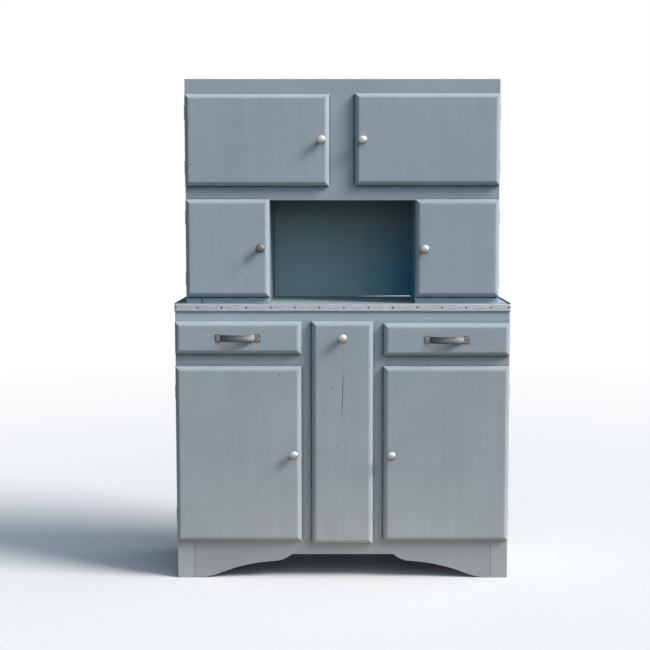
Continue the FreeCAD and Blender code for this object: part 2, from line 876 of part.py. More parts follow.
cleat_z = shelf_z - size.cleat_size
cleat_extent = (size.cleat_size, shelf_depth, size.cleat_size)
battens = two_boxes("inner_cleats", stile_edge_x, shelf_y, cleat_z, cleat_extent)
battens += two_boxes("outer_cleats", side_inner_x - size.cleat_size, shelf_y, cleat_z, cleat_extent)
runner_z = drawer_opening_low_z - size.runner_height
inner_runner_extent = (size.runner_ledge, inside_depth, size.runner_height)
battens += two_boxes("inner_runners", stile_edge_x, frame_back_y, runner_z, inner_runner_extent)
guide_x = post_inner_x
outer_ledge_x = post_inner_x - size.runner_ledge
outer_runner_extent = (side_inner_x - outer_ledge_x, inside_depth, size.runner_height)
battens += two_boxes("outer_runners", outer_ledge_x, frame_back_y, runner_z, outer_runner_extent)
guide_extent = (side_inner_x - guide_x, inside_depth, size.guide_height)
battens += two_boxes("drawer_guides", guide_x, frame_back_y, drawer_opening_low_z, guide_extent)
sub_part(compound("batten_group", battens), "base_battens")

# Worktop with its nailed edging strips

worktop_front_y = face_y - size.worktop_overhang
worktop_extent = (size.base_width, rear_y - worktop_front_y, size.worktop_thickness)
board("worktop", (-half_base, worktop_front_y, base_top_z), worktop_extent)
edging_front_y = worktop_front_y - size.edging_thickness
front_strip_half = half_base + size.edging_thickness
edging_low_z = base_top_z - size.edging_drop
front_strip_height = size.worktop_thickness + size.edging_drop
strips = [box(
    "front_strip",
    (-front_strip_half, edging_front_y, edging_low_z),
    (2 * front_strip_half, size.edging_thickness, front_strip_height),
)]
side_strip_height = front_strip_height + size.side_edging_lip
side_strip_extent = (size.edging_thickness, rear_y - worktop_front_y, side_strip_height)
strips += two_boxes("side_strips", half_base, worktop_front_y, edging_low_z, side_strip_extent)
sub_part(compound("edging_group", strips), "worktop_edging")

NAILS_EACH_SIDE = 6
FACING_FRONT = FreeCAD.Rotation(ACROSS, 90)
nail_pitch = (half_base - size.nail_margin) / NAILS_EACH_SIDE
nail_places = [
    size.nail_shift + index * nail_pitch for index in range(-NAILS_EACH_SIDE, NAILS_EACH_SIDE + 1)
]
end_nail_x = front_strip_half - size.nail_end_inset
nail_places += [-end_nail_x, end_nail_x]
nail_z = base_top_z + size.worktop_thickness / 2
nails = [
    rod(f"nail_{index}", (x, edging_front_y, nail_z), size.nail_radius, size.nail_head, FACING_FRONT)
    for index, x in enumerate(nail_places)
]
sub_part(compound("nail_group", nails), "edging_nails")

# Hutch

hutch_height = hutch_top_z - worktop_z
hutch_frame = size.hutch_frame_thickness
hutch_inside_depth = back_panel_y - hutch_frame_back_y
hutch_side_extent = (size.side_thickness, rear_y - hutch_frame_back_y, hutch_height)
board_pair("hutch_sides", hutch_side_inner_x, hutch_frame_back_y, worktop_z, hutch_side_extent)

corner_stiles = []
for side, low_x in (("left", -half_hutch), ("right", hutch_stile_edge_x)):
    blank_extent = (size.hutch_stile_width, hutch_frame, hutch_height)
    blank = box(f"{side}_corner_stile_blank", (low_x, hutch_face_y, worktop_z), blank_extent)
    corner_stiles.append(cut(f"{side}_corner_stile", blank, frame_notches[f"hutch_{side}"]))
sub_part(compound("corner_stile_pair", corner_stiles), "hutch_corner_stiles")

rail_width = 2 * hutch_stile_edge_x
top_rail_extent = (rail_width, hutch_frame, size.hutch_top_rail_height)
board("hutch_top_rail", (-hutch_stile_edge_x, hutch_face_y, upper_top_z), top_rail_extent)
niche_rail_extent = (rail_width, hutch_frame, size.niche_rail_height)
board("hutch_niche_rail", (-hutch_stile_edge_x, hutch_face_y, cupboard_top_z), niche_rail_extent)
centre_stile_extent = (size.centre_stile_width, hutch_frame, size.upper_opening_height)
board("hutch_centre_stile", (-centre_stile_edge_x, hutch_face_y, upper_low_z), centre_stile_extent)
short_rail_extent = (hutch_stile_edge_x - niche_wall_outer_x, hutch_frame, size.cupboard_rail_height)
board_pair("hutch_bottom_rails", niche_wall_outer_x, hutch_face_y, worktop_z, short_rail_extent)
niche_wall_extent = (size.side_thickness, back_panel_y - hutch_face_y, cupboard_top_z - worktop_z)
board_pair("hutch_niche_walls", niche_half, hutch_face_y, worktop_z, niche_wall_extent)
wide_shelf_extent = (2 * hutch_side_inner_x, hutch_inside_depth, size.shelf_thickness)
board("hutch_middle_floor", (-hutch_side_inner_x, hutch_frame_back_y, cupboard_top_z), wide_shelf_extent)
hutch_roof_z = hutch_top_z - size.shelf_thickness
board("hutch_top", (-hutch_side_inner_x, hutch_frame_back_y, hutch_roof_z), wide_shelf_extent)
small_floor_extent = (hutch_side_inner_x - niche_wall_outer_x, hutch_inside_depth, size.shelf_thickness)
small_floor_z = cupboard_low_z - size.shelf_thickness
board_pair("hutch_cupboard_floors", niche_wall_outer_x, hutch_frame_back_y, small_floor_z, small_floor_extent)
hutch_back_z = worktop_z + size.hutch_back_gap
hutch_back_extent = (2 * hutch_side_inner_x, size.back_thickness, hutch_top_z - hutch_back_z)
board("hutch_back", (-hutch_side_inner_x, back_panel_y, hutch_back_z), hutch_back_extent)

# Hardware on the carcass

sub_part(compound("frame_hinge_group", frame_hinges), "frame_hinges")
sub_part(compound("catch_group", catches), "door_catches")

# Check every object, then write one file for each sub-part

document.recompute()
failed = [item.Label for item in document.Objects if {"Invalid", "Error"} & set(item.State)]
if failed:
    raise RuntimeError(f"objects that did not build: {failed}")
for item in sub_parts:
    shape = item.Shape
    if shape.isNull() or not shape.isValid() or not shape.Solids:
        raise RuntimeError(f"no valid solid in {item.Label}")

os.makedirs("parts", exist_ok=True)
for item in sub_parts:
    item.Shape.exportStep(os.path.join("parts", f"{item.Label}.step"))
print(f"{len(sub_parts)} sub-parts, {sum(len(item.Shape.Solids) for item in sub_parts)} solids")
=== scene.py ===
import bmesh
import bpy
import json
import math
import random
from mathutils import Matrix, Vector


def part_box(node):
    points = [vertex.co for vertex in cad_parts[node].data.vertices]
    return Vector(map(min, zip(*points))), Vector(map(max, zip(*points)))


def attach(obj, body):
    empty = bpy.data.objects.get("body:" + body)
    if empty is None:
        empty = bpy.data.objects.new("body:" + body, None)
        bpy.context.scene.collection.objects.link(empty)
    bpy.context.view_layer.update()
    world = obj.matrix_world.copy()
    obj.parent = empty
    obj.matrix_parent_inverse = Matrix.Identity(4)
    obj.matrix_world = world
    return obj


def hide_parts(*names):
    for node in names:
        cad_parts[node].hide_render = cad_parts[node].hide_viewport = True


# A painted kitchen hutch, in metres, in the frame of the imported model: +Z up, the front faces -Y.

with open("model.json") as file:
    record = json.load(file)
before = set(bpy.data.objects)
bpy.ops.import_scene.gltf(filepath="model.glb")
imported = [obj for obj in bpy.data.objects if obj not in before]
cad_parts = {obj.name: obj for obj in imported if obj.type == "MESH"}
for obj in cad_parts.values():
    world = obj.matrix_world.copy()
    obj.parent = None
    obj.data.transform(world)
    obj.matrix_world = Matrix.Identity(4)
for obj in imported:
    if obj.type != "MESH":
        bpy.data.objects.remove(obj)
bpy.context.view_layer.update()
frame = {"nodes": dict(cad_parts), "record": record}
cad = frame["nodes"]
bodies = frame["record"]["behaviour"]["bodies"]
body_of = {node: body for body, members in bodies.items() for node in members}
chance = random.Random(1955)

SIDES = ("left", "right")
DOORS = tuple(f"{level}_{side}_door" for level in ("upper", "small", "lower") for side in SIDES)
FRONT = Vector((0, -1, 0))
REAR = Vector((0, 1, 0))
UP = Vector((0, 0, 1))
RIGHT = Vector((1, 0, 0))

# Sizes of the finish: metres, radians and counts

WELD = 0.00001
FLAT_ANGLE = math.radians(1)
SHARP_ANGLE = math.radians(50)
EASED_EDGE = 0.0012
EASED_EDGE_LENGTH = 0.004
PROBE = 0.0015
OPEN_JOINT = 0.0009
WIDE_JOINT = 0.003
WEAR_BAND = 0.006
WEAR_BAND_SHARE = 0.3
NARROW_FACE = 3 * EASED_EDGE
PANEL_BEVEL = 0.015
BEVEL_RADIUS = 0.026
BEVEL_STEPS = 10
PANEL_ARRIS = 0.0008
PANEL_CORNER = 0.0016
PANEL_CORNER_TAPER = 0.15
PANEL_CORNER_LEAST = 0.0003
PANEL_THICKNESS = 0.022
HINGE_LENGTH = 0.048
HINGE_BARREL = 0.0025
BARREL_CLEARANCE = 0.0004
PANEL_GAP = 0.002
LEAF_PLAY = 0.0002
ROD_SEGMENTS = 24

# Shader helpers


def srgb(red, green, blue):
    """A linear colour from the 0 to 255 values that it shows on screen."""
    def linear(value):
        share = value / 255
        return share / 12.92 if share <= 0.04045 else ((share + 0.055) / 1.055) ** 2.4
    return (linear(red), linear(green), linear(blue), 1)


ALONG = {"x": (0.05, 1, 1), "y": (1, 0.05, 1), "z": (1, 1, 0.05)}


class Shader:
    """A material or a world, with short calls for adding and joining its nodes."""

    def __init__(self, name, owner=None):
        self.owner = owner or bpy.data.materials.new(name)
        self.owner.use_nodes = True
        self.tree = self.owner.node_tree
        self.surface = self.tree.nodes.get("Principled BSDF")

    def feed(self, socket, value):
        if isinstance(value, bpy.types.NodeSocket):
            self.tree.links.new(value, socket)
        else:
            socket.default_value = value

    def node(self, kind, feeds=None, **settings):
        item = self.tree.nodes.new(kind)
        for name, value in settings.items():
            setattr(item, name, value)
        for key, value in (feeds or {}).items():
            self.feed(item.inputs[key], value)
        return item

    def place(self, scale=(1, 1, 1)):
        """The piece's own coordinates in metres, stretched."""
        source = self.node("ShaderNodeTexCoord").outputs["Object"]
        return self.node("ShaderNodeMapping", {"Vector": source, "Scale": scale}).outputs["Vector"]

    def noise(self, vector, scale, detail=3, roughness=0.55):
        feeds = {"Vector": vector, "Scale": scale, "Detail": detail, "Roughness": roughness}
        return self.node("ShaderNodeTexNoise", feeds).outputs[0]

    def strokes(self, axis, scale, **settings):
        """Noise drawn out along an axis."""
        return self.noise(self.place([share * scale for share in ALONG[axis]]), 1, **settings)

    def vary(self, noise, low, high):
        """The usual spread of a noise, turned into values from low to high."""
        return self.range(noise, 0.3, 0.7, low, high)

    def range(self, value, low, high, to_low=0.0, to_high=1.0):
        feeds = {"Value": value, "From Min": low, "From Max": high, "To Min": to_low, "To Max": to_high}
        return self.node("ShaderNodeMapRange", feeds).outputs["Result"]

    def sum(self, first, second):
        return self.node("ShaderNodeMath", {0: first, 1: second}, operation="ADD").outputs[0]

    def product(self, first, second):
        return self.node("ShaderNodeMath", {0: first, 1: second}, operation="MULTIPLY").outputs[0]

    def larger(self, first, second):
        return self.node("ShaderNodeMath", {0: first, 1: second}, operation="MAXIMUM").outputs[0]

    def mix(self, share, first, second, blend="MIX"):
        item = self.node("ShaderNodeMix", data_type="RGBA", blend_type=blend)
        self.feed(item.inputs[0], share)
        self.feed(item.inputs[6], first)
        self.feed(item.inputs[7], second)
        return item.outputs[2]

    def toned(self, colour, tone):
        """A colour made lighter or darker by a grey value around 1."""
        grey = self.node("ShaderNodeCombineColor", {0: tone, 1: tone, 2: tone}).outputs[0]
        return self.mix(1.0, colour, grey, "MULTIPLY")

    def edge(self):
        """The worn-edge value that the meshes carry: 1 on an edge, 0 on the open face; on the lines beside
        the fronts and the plates' rims it carries painted shade.
        """
        return self.node("ShaderNodeAttribute", attribute_name="edge").outputs["Fac"]

    def axes(self, vector):
        return self.node("ShaderNodeSeparateXYZ", {0: vector}).outputs

    def upward(self):
        """1 on faces that look up, 0 on faces that look down."""
        normal = self.node("ShaderNodeNewGeometry").outputs["Normal"]
        return self.range(self.axes(normal)["Z"], -0.6, 0.6)

    def seen(self):
        """1 for rays from the camera, and for what polished metal or glass shows."""
        path = self.node("ShaderNodeLightPath").outputs
        shown = self.larger(path["Is Camera Ray"], path["Is Glossy Ray"])
        return self.larger(shown, path["Is Transmission Ray"])

    def bump(self, height, strength, distance):
        feeds = {"Height": height, "Strength": strength, "Distance": distance}
        return self.node("ShaderNodeBump", feeds).outputs["Normal"]

    def paint(self, **sockets):
        for name, value in sockets.items():
            self.feed(self.surface.inputs[name.replace("_", " ").title().replace("Ior", "IOR")], value)
        return self.owner


# Colours, and where they change

PAINT_LOW = srgb(140, 149, 156)
PAINT_HIGH = srgb(139, 154, 166)
PAINT_HEIGHTS = (0.2, 1.1)
# The apron's paint is darker: painted shade, as the apron stands back behind the fronts
APRON_SHADE = srgb(130, 139, 147)
# The band beside the worktop is painted paler: painted light that lifts the shade under the worktop's
# overhang and under the small doors
BAND_PAINTED_LIGHT = srgb(148, 165, 177)
BAND_FOOT = 0.940
BAND_HEAD = 1.024
BAND_FADE = 0.006
# Bevels that look down or to the left are painted paler: painted light on their shaded side
BEVEL_PAINTED_LIGHT = 1.22
BEVEL_LOOKS = (-0.2, -0.75)
BEVEL_HEIGHTS = (0.5, 1.3)
RUBBED_PAINT = srgb(172, 180, 184)
CHIPPED_PAINT = srgb(92, 84, 74)
PAINT_SPECK = srgb(94, 100, 104)
BRUISE = srgb(110, 119, 125)
# The dark of the lines round the fronts: painted shade, and dirt in the opened joint
SHADE_AND_DIRT_DARK = srgb(30, 38, 42)
# The niche's colours are painted light: painted shade dull under its ceiling and deep blue in its lower right
# corner, bluer towards its foot
NICHE_FOOT = srgb(134, 165, 178)
NICHE_FOOT_HEIGHTS = (1.10, 1.22)
NICHE_MIDDLE = srgb(139, 162, 171)
NICHE_CEILING_SHADE = srgb(119, 134, 133)
NICHE_CEILING_HEIGHTS = (1.28, 1.37)
NICHE_CORNER_SHADE = srgb(80, 154, 180)
NICHE_CORNER_ACROSS = (0.06, 0.26)
NICHE_CORNER_HEIGHTS = (1.34, 1.08)
NICHE_SHADE = srgb(105, 122, 130)
PINE = srgb(196, 164, 122)
PINE_DARK = srgb(158, 120, 80)
# The strap's colour runs from a painted dark reflection at its left end to a painted highlight at its right
STRAP_DARK_REFLECTION = srgb(70, 77, 82)
STRAP_MIDDLE = srgb(97, 104, 108)
STRAP_HIGHLIGHT = srgb(141, 143, 143)
STRAP_RIM = srgb(24, 23, 23)
PLATE_GREY = srgb(132, 133, 130)
PLATE_BROWN = srgb(110, 105, 101)
# The plates' dark rim is painted shade
PLATE_RIM_SHADE = srgb(48, 43, 42)
# The side strips' lips are painted shade, black and brownish
LIP_SHADE_BLACK = srgb(38, 36, 36)
LIP_SHADE_BROWN = srgb(62, 54, 50)
COVER_DARK = srgb(126, 145, 154)
COVER_PALE = srgb(137, 154, 162)
COVER_SCUFF = srgb(150, 168, 175)
FLOOR_SHOWN = srgb(198, 202, 208)
FLOOR_BOUNCE_NEAR = srgb(205, 190, 168)
FLOOR_BOUNCE_FAR = srgb(30, 30, 30)

# Materials


def height_blend(low_colour, high_colour):
    """Paint that goes from one colour near the floor to another higher up."""
    def base(shader, place):
        height = shader.axes(place)["Z"]
        return shader.mix(shader.range(height, *PAINT_HEIGHTS), low_colour, high_colour)
    return base


def front_paint(shader, place):
    """The paint of fronts and frame: warmer near the floor, paler in the band beside the worktop.
    That paleness is painted light, which lifts the shade under the worktop's overhang and the small doors.

    It is also a little paler on bevels that look down or to the left: painted light on their shaded side.
    """
    height = shader.axes(place)["Z"]
    foot = shader.range(height, BAND_FOOT, BAND_FOOT + BAND_FADE)
    band = shader.product(foot, shader.range(height, BAND_HEAD, BAND_HEAD - BAND_FADE))
    colour = shader.mix(band, height_blend(PAINT_LOW, PAINT_HIGH)(shader, place), BAND_PAINTED_LIGHT)
    looks = shader.axes(shader.node("ShaderNodeTexCoord").outputs["Normal"])
    down = shader.product(shader.range(looks["Z"], *BEVEL_LOOKS), shader.range(height, *BEVEL_HEIGHTS))
    pale = shader.sum(down, shader.range(looks["X"], *BEVEL_LOOKS))
    return shader.toned(colour, shader.range(pale, 0, 1, 1.0, BEVEL_PAINTED_LIGHT))


def niche_painted_light(shader, place):
    """The niche's paint with painted light: grey in the middle, painted shade dull at the top and deep blue
    in the lower right corner.
    """
    axes = shader.axes(place)
    colour = shader.mix(shader.range(axes["Z"], *NICHE_FOOT_HEIGHTS), NICHE_FOOT, NICHE_MIDDLE)
    colour = shader.mix(shader.range(axes["Z"], *NICHE_CEILING_HEIGHTS), colour, NICHE_CEILING_SHADE)
    rightward = shader.range(axes["X"], *NICHE_CORNER_ACROSS)
    corner = shader.product(rightward, shader.range(axes["Z"], *NICHE_CORNER_HEIGHTS))
    return shader.mix(corner, colour, NICHE_CORNER_SHADE)


def painted_wood(name, base_colour, axis):
    """Matt brushed paint over wood: strokes along the axis, chips and rubbed paint on the edges.

    base_colour makes the paint's plain colour from the shader and the piece's coordinates.
    """
    shader = Shader(name)
    place = shader.place()
    strokes = shader.strokes(axis, 34, detail=6, roughness=0.66)
    hairs = shader.strokes(axis, 300, detail=3)
    crossing = shader.strokes("z" if axis == "x" else "x", 150, detail=3)
    clouds = shader.noise(place, 3.2, detail=5, roughness=0.62)
    tone = shader.vary(strokes, 0.96, 1.04)
    for layer, share in ((clouds, 0.058), (hairs, 0.015), (crossing, 0.012)):
        tone = shader.sum(tone, shader.vary(layer, -share, share))
    colour = shader.toned(base_colour(shader, place), tone)
    edge = shader.edge()
    rub_noise = shader.noise(place, 38, detail=4, roughness=0.65)
    rubbed = shader.product(edge, shader.range(rub_noise, 0.45, 0.65))
    colour = shader.mix(shader.product(rubbed, 0.35), colour, RUBBED_PAINT)
    chip_noise = shader.noise(place, 95, detail=3, roughness=0.7)
    chipped = shader.product(shader.range(edge, 0.55, 0.95), shader.range(chip_noise, 0.70, 0.73))
    colour = shader.mix(chipped, colour, CHIPPED_PAINT)
    specks = shader.noise(place, 90, detail=1)
    colour = shader.mix(shader.range(specks, 0.775, 0.80, 0, 0.35), colour, PAINT_SPECK)
    relief = shader.sum(shader.product(strokes, 0.6), shader.product(hairs, 0.2))
    relief = shader.sum(relief, shader.sum(shader.product(crossing, 0.08), shader.product(chipped, -1.2)))
    roughness = shader.vary(clouds, 0.50, 0.62)
    return shader.paint(
        base_color=colour,
        roughness=roughness,
        specular_ior_level=0.3,
        normal=shader.bump(relief, 0.22, 0.0006),
    )


def bare_wood(name, colour, dark, axis):
    """Plain unpainted timber with long grain, darker in streaks and stains."""
    shader = Shader(name)
    place = shader.place()
    figure = shader.strokes(axis, 45, detail=6, roughness=0.6)
    pores = shader.strokes(axis, 520, detail=2)
    stain = shader.noise(place, 6, detail=3)
    grain = shader.range(figure, 0.42, 0.62)
    wood = shader.mix(grain, colour, dark)
    tone = shader.sum(shader.vary(pores, 0.93, 1.04), shader.vary(stain, -0.08, 0.06))
    relief = shader.sum(shader.product(figure, 0.4), shader.product(pores, 0.6))
    return shader.paint(
        base_color=shader.toned(wood, tone),
        roughness=shader.vary(pores, 0.62, 0.78),
        specular_ior_level=0.3,
        normal=shader.bump(relief, 0.35, 0.0005),
    )


def metal(name, colour, tarnish, rough, tarnished, axis="x", brushing=600, under_reflection=None, shade_and_dirt=None):
    """Worn metal: fine brushing along the axis, tarnish in clouds and spots.

    rough is its least roughness, tarnished the share of the tarnish's colour.
    under_reflection is the colour of faces that look down, a painted reflection of the floor; shade_and_dirt
    that of worn edges, painted shade and dirt.
    """
    shader = Shader(name)
    place = shader.place()
    brushed = shader.strokes(axis, brushing, detail=3)
    clouds = shader.noise(place, 55, detail=5, roughness=0.7)
    spots = shader.noise(place, 260, detail=3, roughness=0.6)
    dirt = shader.sum(shader.range(clouds, 0.42, 0.68), shader.range(spots, 0.60, 0.72, 0, 0.6))
    base = shader.mix(shader.product(dirt, tarnished), colour, tarnish)
    # Faces that look down take a painted reflection of the floor, warm and darker
    if under_reflection:
        base = shader.mix(shader.upward(), under_reflection, base)
    # Worn edges take the darker colour: on the edging's lower edge, painted shade and dirt
    if shade_and_dirt:
        caught = shader.product(shader.edge(), shader.range(clouds, 0.35, 0.6, 0.5, 1.0))
        base = shader.mix(caught, base, shade_and_dirt)
    tone = shader.vary(brushed, 0.95, 1.05)
    roughness = shader.sum(shader.vary(brushed, rough, rough + 0.1), shader.product(dirt, 0.18))
    return shader.paint(
        base_color=shader.toned(base, tone),
        metallic=1.0,
        roughness=roughness,
        normal=shader.bump(shader.sum(brushed, shader.product(spots, 0.6)), 0.15, 0.0002),
    )


def strap_steel(name):
    """Steel of a bow: a painted dark reflection at its left end, a painted highlight at its right, and darker
    rims.
    """
    shader = Shader(name)
    place = shader.place()
    brushed = shader.strokes("x", 300, detail=3)
    clouds = shader.noise(place, 70, detail=5, roughness=0.7)
    along = shader.node("ShaderNodeAttribute", attribute_name="along").outputs["Fac"]
    along = shader.sum(along, shader.vary(clouds, -0.08, 0.08))
    # Painted reflection and highlight along the bow
    colour = shader.mix(shader.range(along, 0.15, 0.55), STRAP_DARK_REFLECTION, STRAP_MIDDLE)
    colour = shader.mix(shader.range(along, 0.62, 0.95), colour, STRAP_HIGHLIGHT)
    rim = shader.product(shader.edge(), shader.range(clouds, 0.35, 0.6, 0.75, 1.0))
    colour = shader.mix(rim, colour, STRAP_RIM)
    return shader.paint(
        base_color=shader.toned(colour, shader.vary(brushed, 0.92, 1.08)),
        metallic=1.0,
        roughness=shader.vary(brushed, 0.40, 0.52),
        normal=shader.bump(shader.sum(brushed, shader.product(clouds, 0.6)), 0.15, 0.0002),
    )


def rusty_plate(name):
    """Plated steel gone brown, with painted shade at its rim."""
    shader = Shader(name)
    place = shader.place()
    clouds = shader.noise(place, 130, detail=6, roughness=0.72)
    grit = shader.noise(place, 900, detail=2)
    rust = shader.mix(shader.range(clouds, 0.4, 0.6), PLATE_GREY, PLATE_BROWN)
    rim = shader.product(shader.edge(), shader.range(shader.noise(place, 90, detail=3), 0.35, 0.55, 0.5, 1.0))
    colour = shader.mix(rim, rust, PLATE_RIM_SHADE)
    return shader.paint(
        base_color=shader.toned(colour, shader.vary(grit, 0.85, 1.1)),
        metallic=0.2,
        roughness=shader.range(clouds, 0.35, 0.65, 0.45, 0.7),
        normal=shader.bump(shader.sum(clouds, shader.product(grit, 0.5)), 0.3, 0.0003),
    )


def painted_shade_lip(name):
    """The side strips' lips in painted shade: black and matt, brownish in clouds."""
    shader = Shader(name)
    place = shader.place()
    clouds = shader.noise(place, 70, detail=5, roughness=0.7)
    grit = shader.noise(place, 600, detail=2)
    colour = shader.mix(shader.range(clouds, 0.4, 0.65), LIP_SHADE_BLACK, LIP_SHADE_BROWN)
    return shader.paint(
        base_color=shader.toned(colour, shader.vary(grit, 0.85, 1.1)),
        roughness=shader.range(clouds, 0.35, 0.65, 0.75, 0.9),
        specular_ior_level=0.0,
        normal=shader.bump(shader.sum(clouds, grit), 0.25, 0.0003),
    )


def shade_and_dirt_paint(name, base_colour):
    """Painted shade on the frame beside a front, and dirt in an opened joint: dark at the front's edge, clear
    paint further out.
    """
    shader = Shader(name)
    place = shader.place()
    patchy = shader.vary(shader.noise(place, 40, detail=4), 0.8, 1.0)
    colour = shader.mix(shader.product(shader.edge(), patchy), base_colour(shader, place), SHADE_AND_DIRT_DARK)
    grit = shader.noise(place, 700, detail=2)
    return shader.paint(
        base_color=shader.toned(colour, shader.vary(grit, 0.9, 1.1)),
        roughness=0.8,
        specular_ior_level=0.1,
        normal=shader.bump(grit, 0.2, 0.0002),
    )


def lined_top(name):
    """The worktop's covering: grey-blue, mottled and scuffed."""
    shader = Shader(name)
    place = shader.place()
    mottle = shader.noise(place, 28, detail=6, roughness=0.7)
    scuffs = shader.noise(shader.place((160, 12, 1)), 1, detail=4, roughness=0.7)
    colour = shader.mix(shader.range(mottle, 0.35, 0.65), COVER_DARK, COVER_PALE)
    colour = shader.mix(shader.range(scuffs, 0.60, 0.72, 0, 0.3), colour, COVER_SCUFF)
    return shader.paint(
        base_color=colour,
        roughness=shader.vary(scuffs, 0.85, 0.95),
        specular_ior_level=0.0,
        normal=shader.bump(shader.sum(mottle, scuffs), 0.15, 0.0004),
    )


paint_upright = painted_wood("paint_upright", front_paint, "z")
paint_level = painted_wood("paint_level", front_paint, "x")
# The niche's paint carries painted shade at its top and in its lower right corner
paint_niche = painted_wood("paint_niche", niche_painted_light, "z")
# Painted shade for the niche's left wall
paint_niche_wall_shade = painted_wood("paint_niche_wall_shade", height_blend(NICHE_SHADE, NICHE_SHADE), "z")
# The apron's darker paint is painted shade
paint_apron = painted_wood("paint_apron", height_blend(APRON_SHADE, PAINT_HIGH), "x")
# Paint of the dark lines round the fronts: painted shade, and dirt in the opened joint
paint_shade_and_dirt = shade_and_dirt_paint("paint_shade_and_dirt", front_paint)
paint_bruise = painted_wood("paint_bruise", height_blend(BRUISE, BRUISE), "z")
wood_x = bare_wood("bare_wood_x", PINE, PINE_DARK, "x")
wood_y = bare_wood("bare_wood_y", PINE, PINE_DARK, "y")
wood_z = bare_wood("bare_wood_z", PINE, PINE_DARK, "z")
plywood = bare_wood("plywood", srgb(166, 134, 98), srgb(132, 102, 70), "z")
split_wood = bare_wood("split_wood", srgb(70, 62, 54), srgb(44, 40, 36), "z")
# Aged wood for the base floor's underside, made darker as painted shade under the cabinet
aged_shaded_wood = bare_wood("aged_shaded_wood", srgb(88, 72, 56), srgb(58, 46, 36), "x")
# The knobs' faces that look down take a painted reflection of the floor
aluminium = metal(
    "knob_aluminium", srgb(178, 184, 190), srgb(150, 152, 154),
    rough=0.36, tarnished=0.45, under_reflection=srgb(120, 112, 104),
)
brass = metal(
    "knob_brass", srgb(120, 117, 109), srgb(89, 87, 80),
    rough=0.46, tarnished=0.7, under_reflection=srgb(79, 76, 70),
)
# The edging's lower edge is darkened with painted shade and dirt
edging_metal = metal(
    "edging_aluminium", srgb(153, 159, 166), srgb(137, 141, 146),
    rough=0.46, tarnished=0.4, brushing=90, shade_and_dirt=srgb(118, 114, 112),
)
strap_metal = strap_steel("strap_steel")
lip_shade_metal = painted_shade_lip("lip_painted_shade")
hinge_metal = metal(
    "hinge_steel", srgb(158, 150, 138), srgb(104, 88, 70),
    rough=0.34, tarnished=0.9, axis="z", brushing=400,
)
nail_metal = metal("nail_steel", srgb(92, 80, 72), srgb(58, 46, 40), rough=0.5, tarnished=0.9)
edging_nail_metal = metal("edging_nail_steel", srgb(34, 35, 38), srgb(22, 21, 21), rough=0.6, tarnished=0.9)
plate_metal = rusty_plate("handle_plate")
worktop_cover = lined_top("worktop_cover")

# Mesh helpers


def loose_object(name, mesh, materials=()):
    """An object of a finished bmesh, set in the scene."""
    data = bpy.data.meshes.new(name)
    mesh.to_mesh(data)
    mesh.free()
    for material in materials:
        data.materials.append(material)
    item = bpy.data.objects.new(name, data)
    bpy.context.scene.collection.objects.link(item)
    return item


def new_piece(name, mesh, materials, body, nodes=()):
    """Makes an object of a finished bmesh, sets it on a body and lets it stand for CAD nodes."""
    piece = loose_object(name, mesh, materials)
    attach(piece, body)
    if nodes:
        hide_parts(*nodes)
    return piece


def turned_out(mesh):
    """Makes all the faces look outward."""
    bmesh.ops.recalc_face_normals(mesh, faces=mesh.faces)


def shaded_smooth(mesh):
    for face in mesh.faces:
        face.smooth = True


def weighted_normals(piece):
    """Keeps the broad faces flat and lets the eased edges turn smoothly between them."""
    modifier = piece.modifiers.new("weighted_normals", "WEIGHTED_NORMAL")
    modifier.keep_sharp = True
    return piece


def welded_copy(node):
    """The CAD node's mesh with its faces joined up again and flat areas merged."""
    mesh = bmesh.new()
    mesh.from_mesh(cad[node].data)
    normals = mesh.loops.layers.float_vector.get("custom_normal")
    if normals:
        mesh.loops.layers.float_vector.remove(normals)
    bmesh.ops.remove_doubles(mesh, verts=mesh.verts, dist=WELD)
    bmesh.ops.dissolve_limit(mesh, angle_limit=FLAT_ANGLE, verts=mesh.verts, edges=mesh.edges)
    return mesh


def value_layer(mesh, name="edge"):
    """The mesh's layer of vertex values, made where it is missing; "edge" is 1 on worn edges, and carries
    painted shade on the lines beside the fronts.
    """
    layers = mesh.verts.layers.float
    return layers.get(name) or layers.new(name)


def skin(mesh, rings):
    """Faces between each ring of vertices and the next; a ring of one vertex is a point."""
    count = max(len(ring) for ring in rings)
    faces = []
    for lower, upper in zip(rings, rings[1:]):
        for step in range(count):
            following = (step + 1) % count
            corners = [lower[step % len(lower)], lower[following % len(lower)]]
            corners += [upper[following % len(upper)], upper[step % len(upper)]]
            faces.append(mesh.faces.new(list(dict.fromkeys(corners))))
    return faces


def capped_skin(mesh, rings):
    """A closed skin: faces between the rings, and one over each end."""
    faces = skin(mesh, rings)
    mesh.faces.new(rings[0])
    mesh.faces.new(rings[-1])
    return faces


def islands(node):
    """The lowest and highest corner of every separate solid of a CAD node."""
    mesh = bmesh.new()
    mesh.from_mesh(cad[node].data)
    bmesh.ops.remove_doubles(mesh, verts=mesh.verts, dist=WELD)
    waiting = set(mesh.verts)
    boxes = []
    while waiting:
        group = [waiting.pop()]
        for vertex in group:
            for edge in vertex.link_edges:
                other = edge.other_vert(vertex)
                if other in waiting:
                    waiting.remove(other)
                    group.append(other)
        low = Vector([min(vertex.co[axis] for vertex in group) for axis in range(3)])
        high = Vector([max(vertex.co[axis] for vertex in group) for axis in range(3)])
        boxes.append((low, high))
    mesh.free()
    return sorted(boxes, key=lambda corners: tuple(corners[0]))


FRAME_SOLIDS = [
    (node, low, high)
    for node in cad
    if node.startswith(("base_", "hutch_", "worktop"))
    for low, high in islands(node)
]


def covered(point, own_node):
    """Whether a point lies in another board of the frame."""
    for node, low, high in FRAME_SOLIDS:
        if node != own_node and all(low[axis] < point[axis] < high[axis] for axis in range(3)):
            return True
    return False


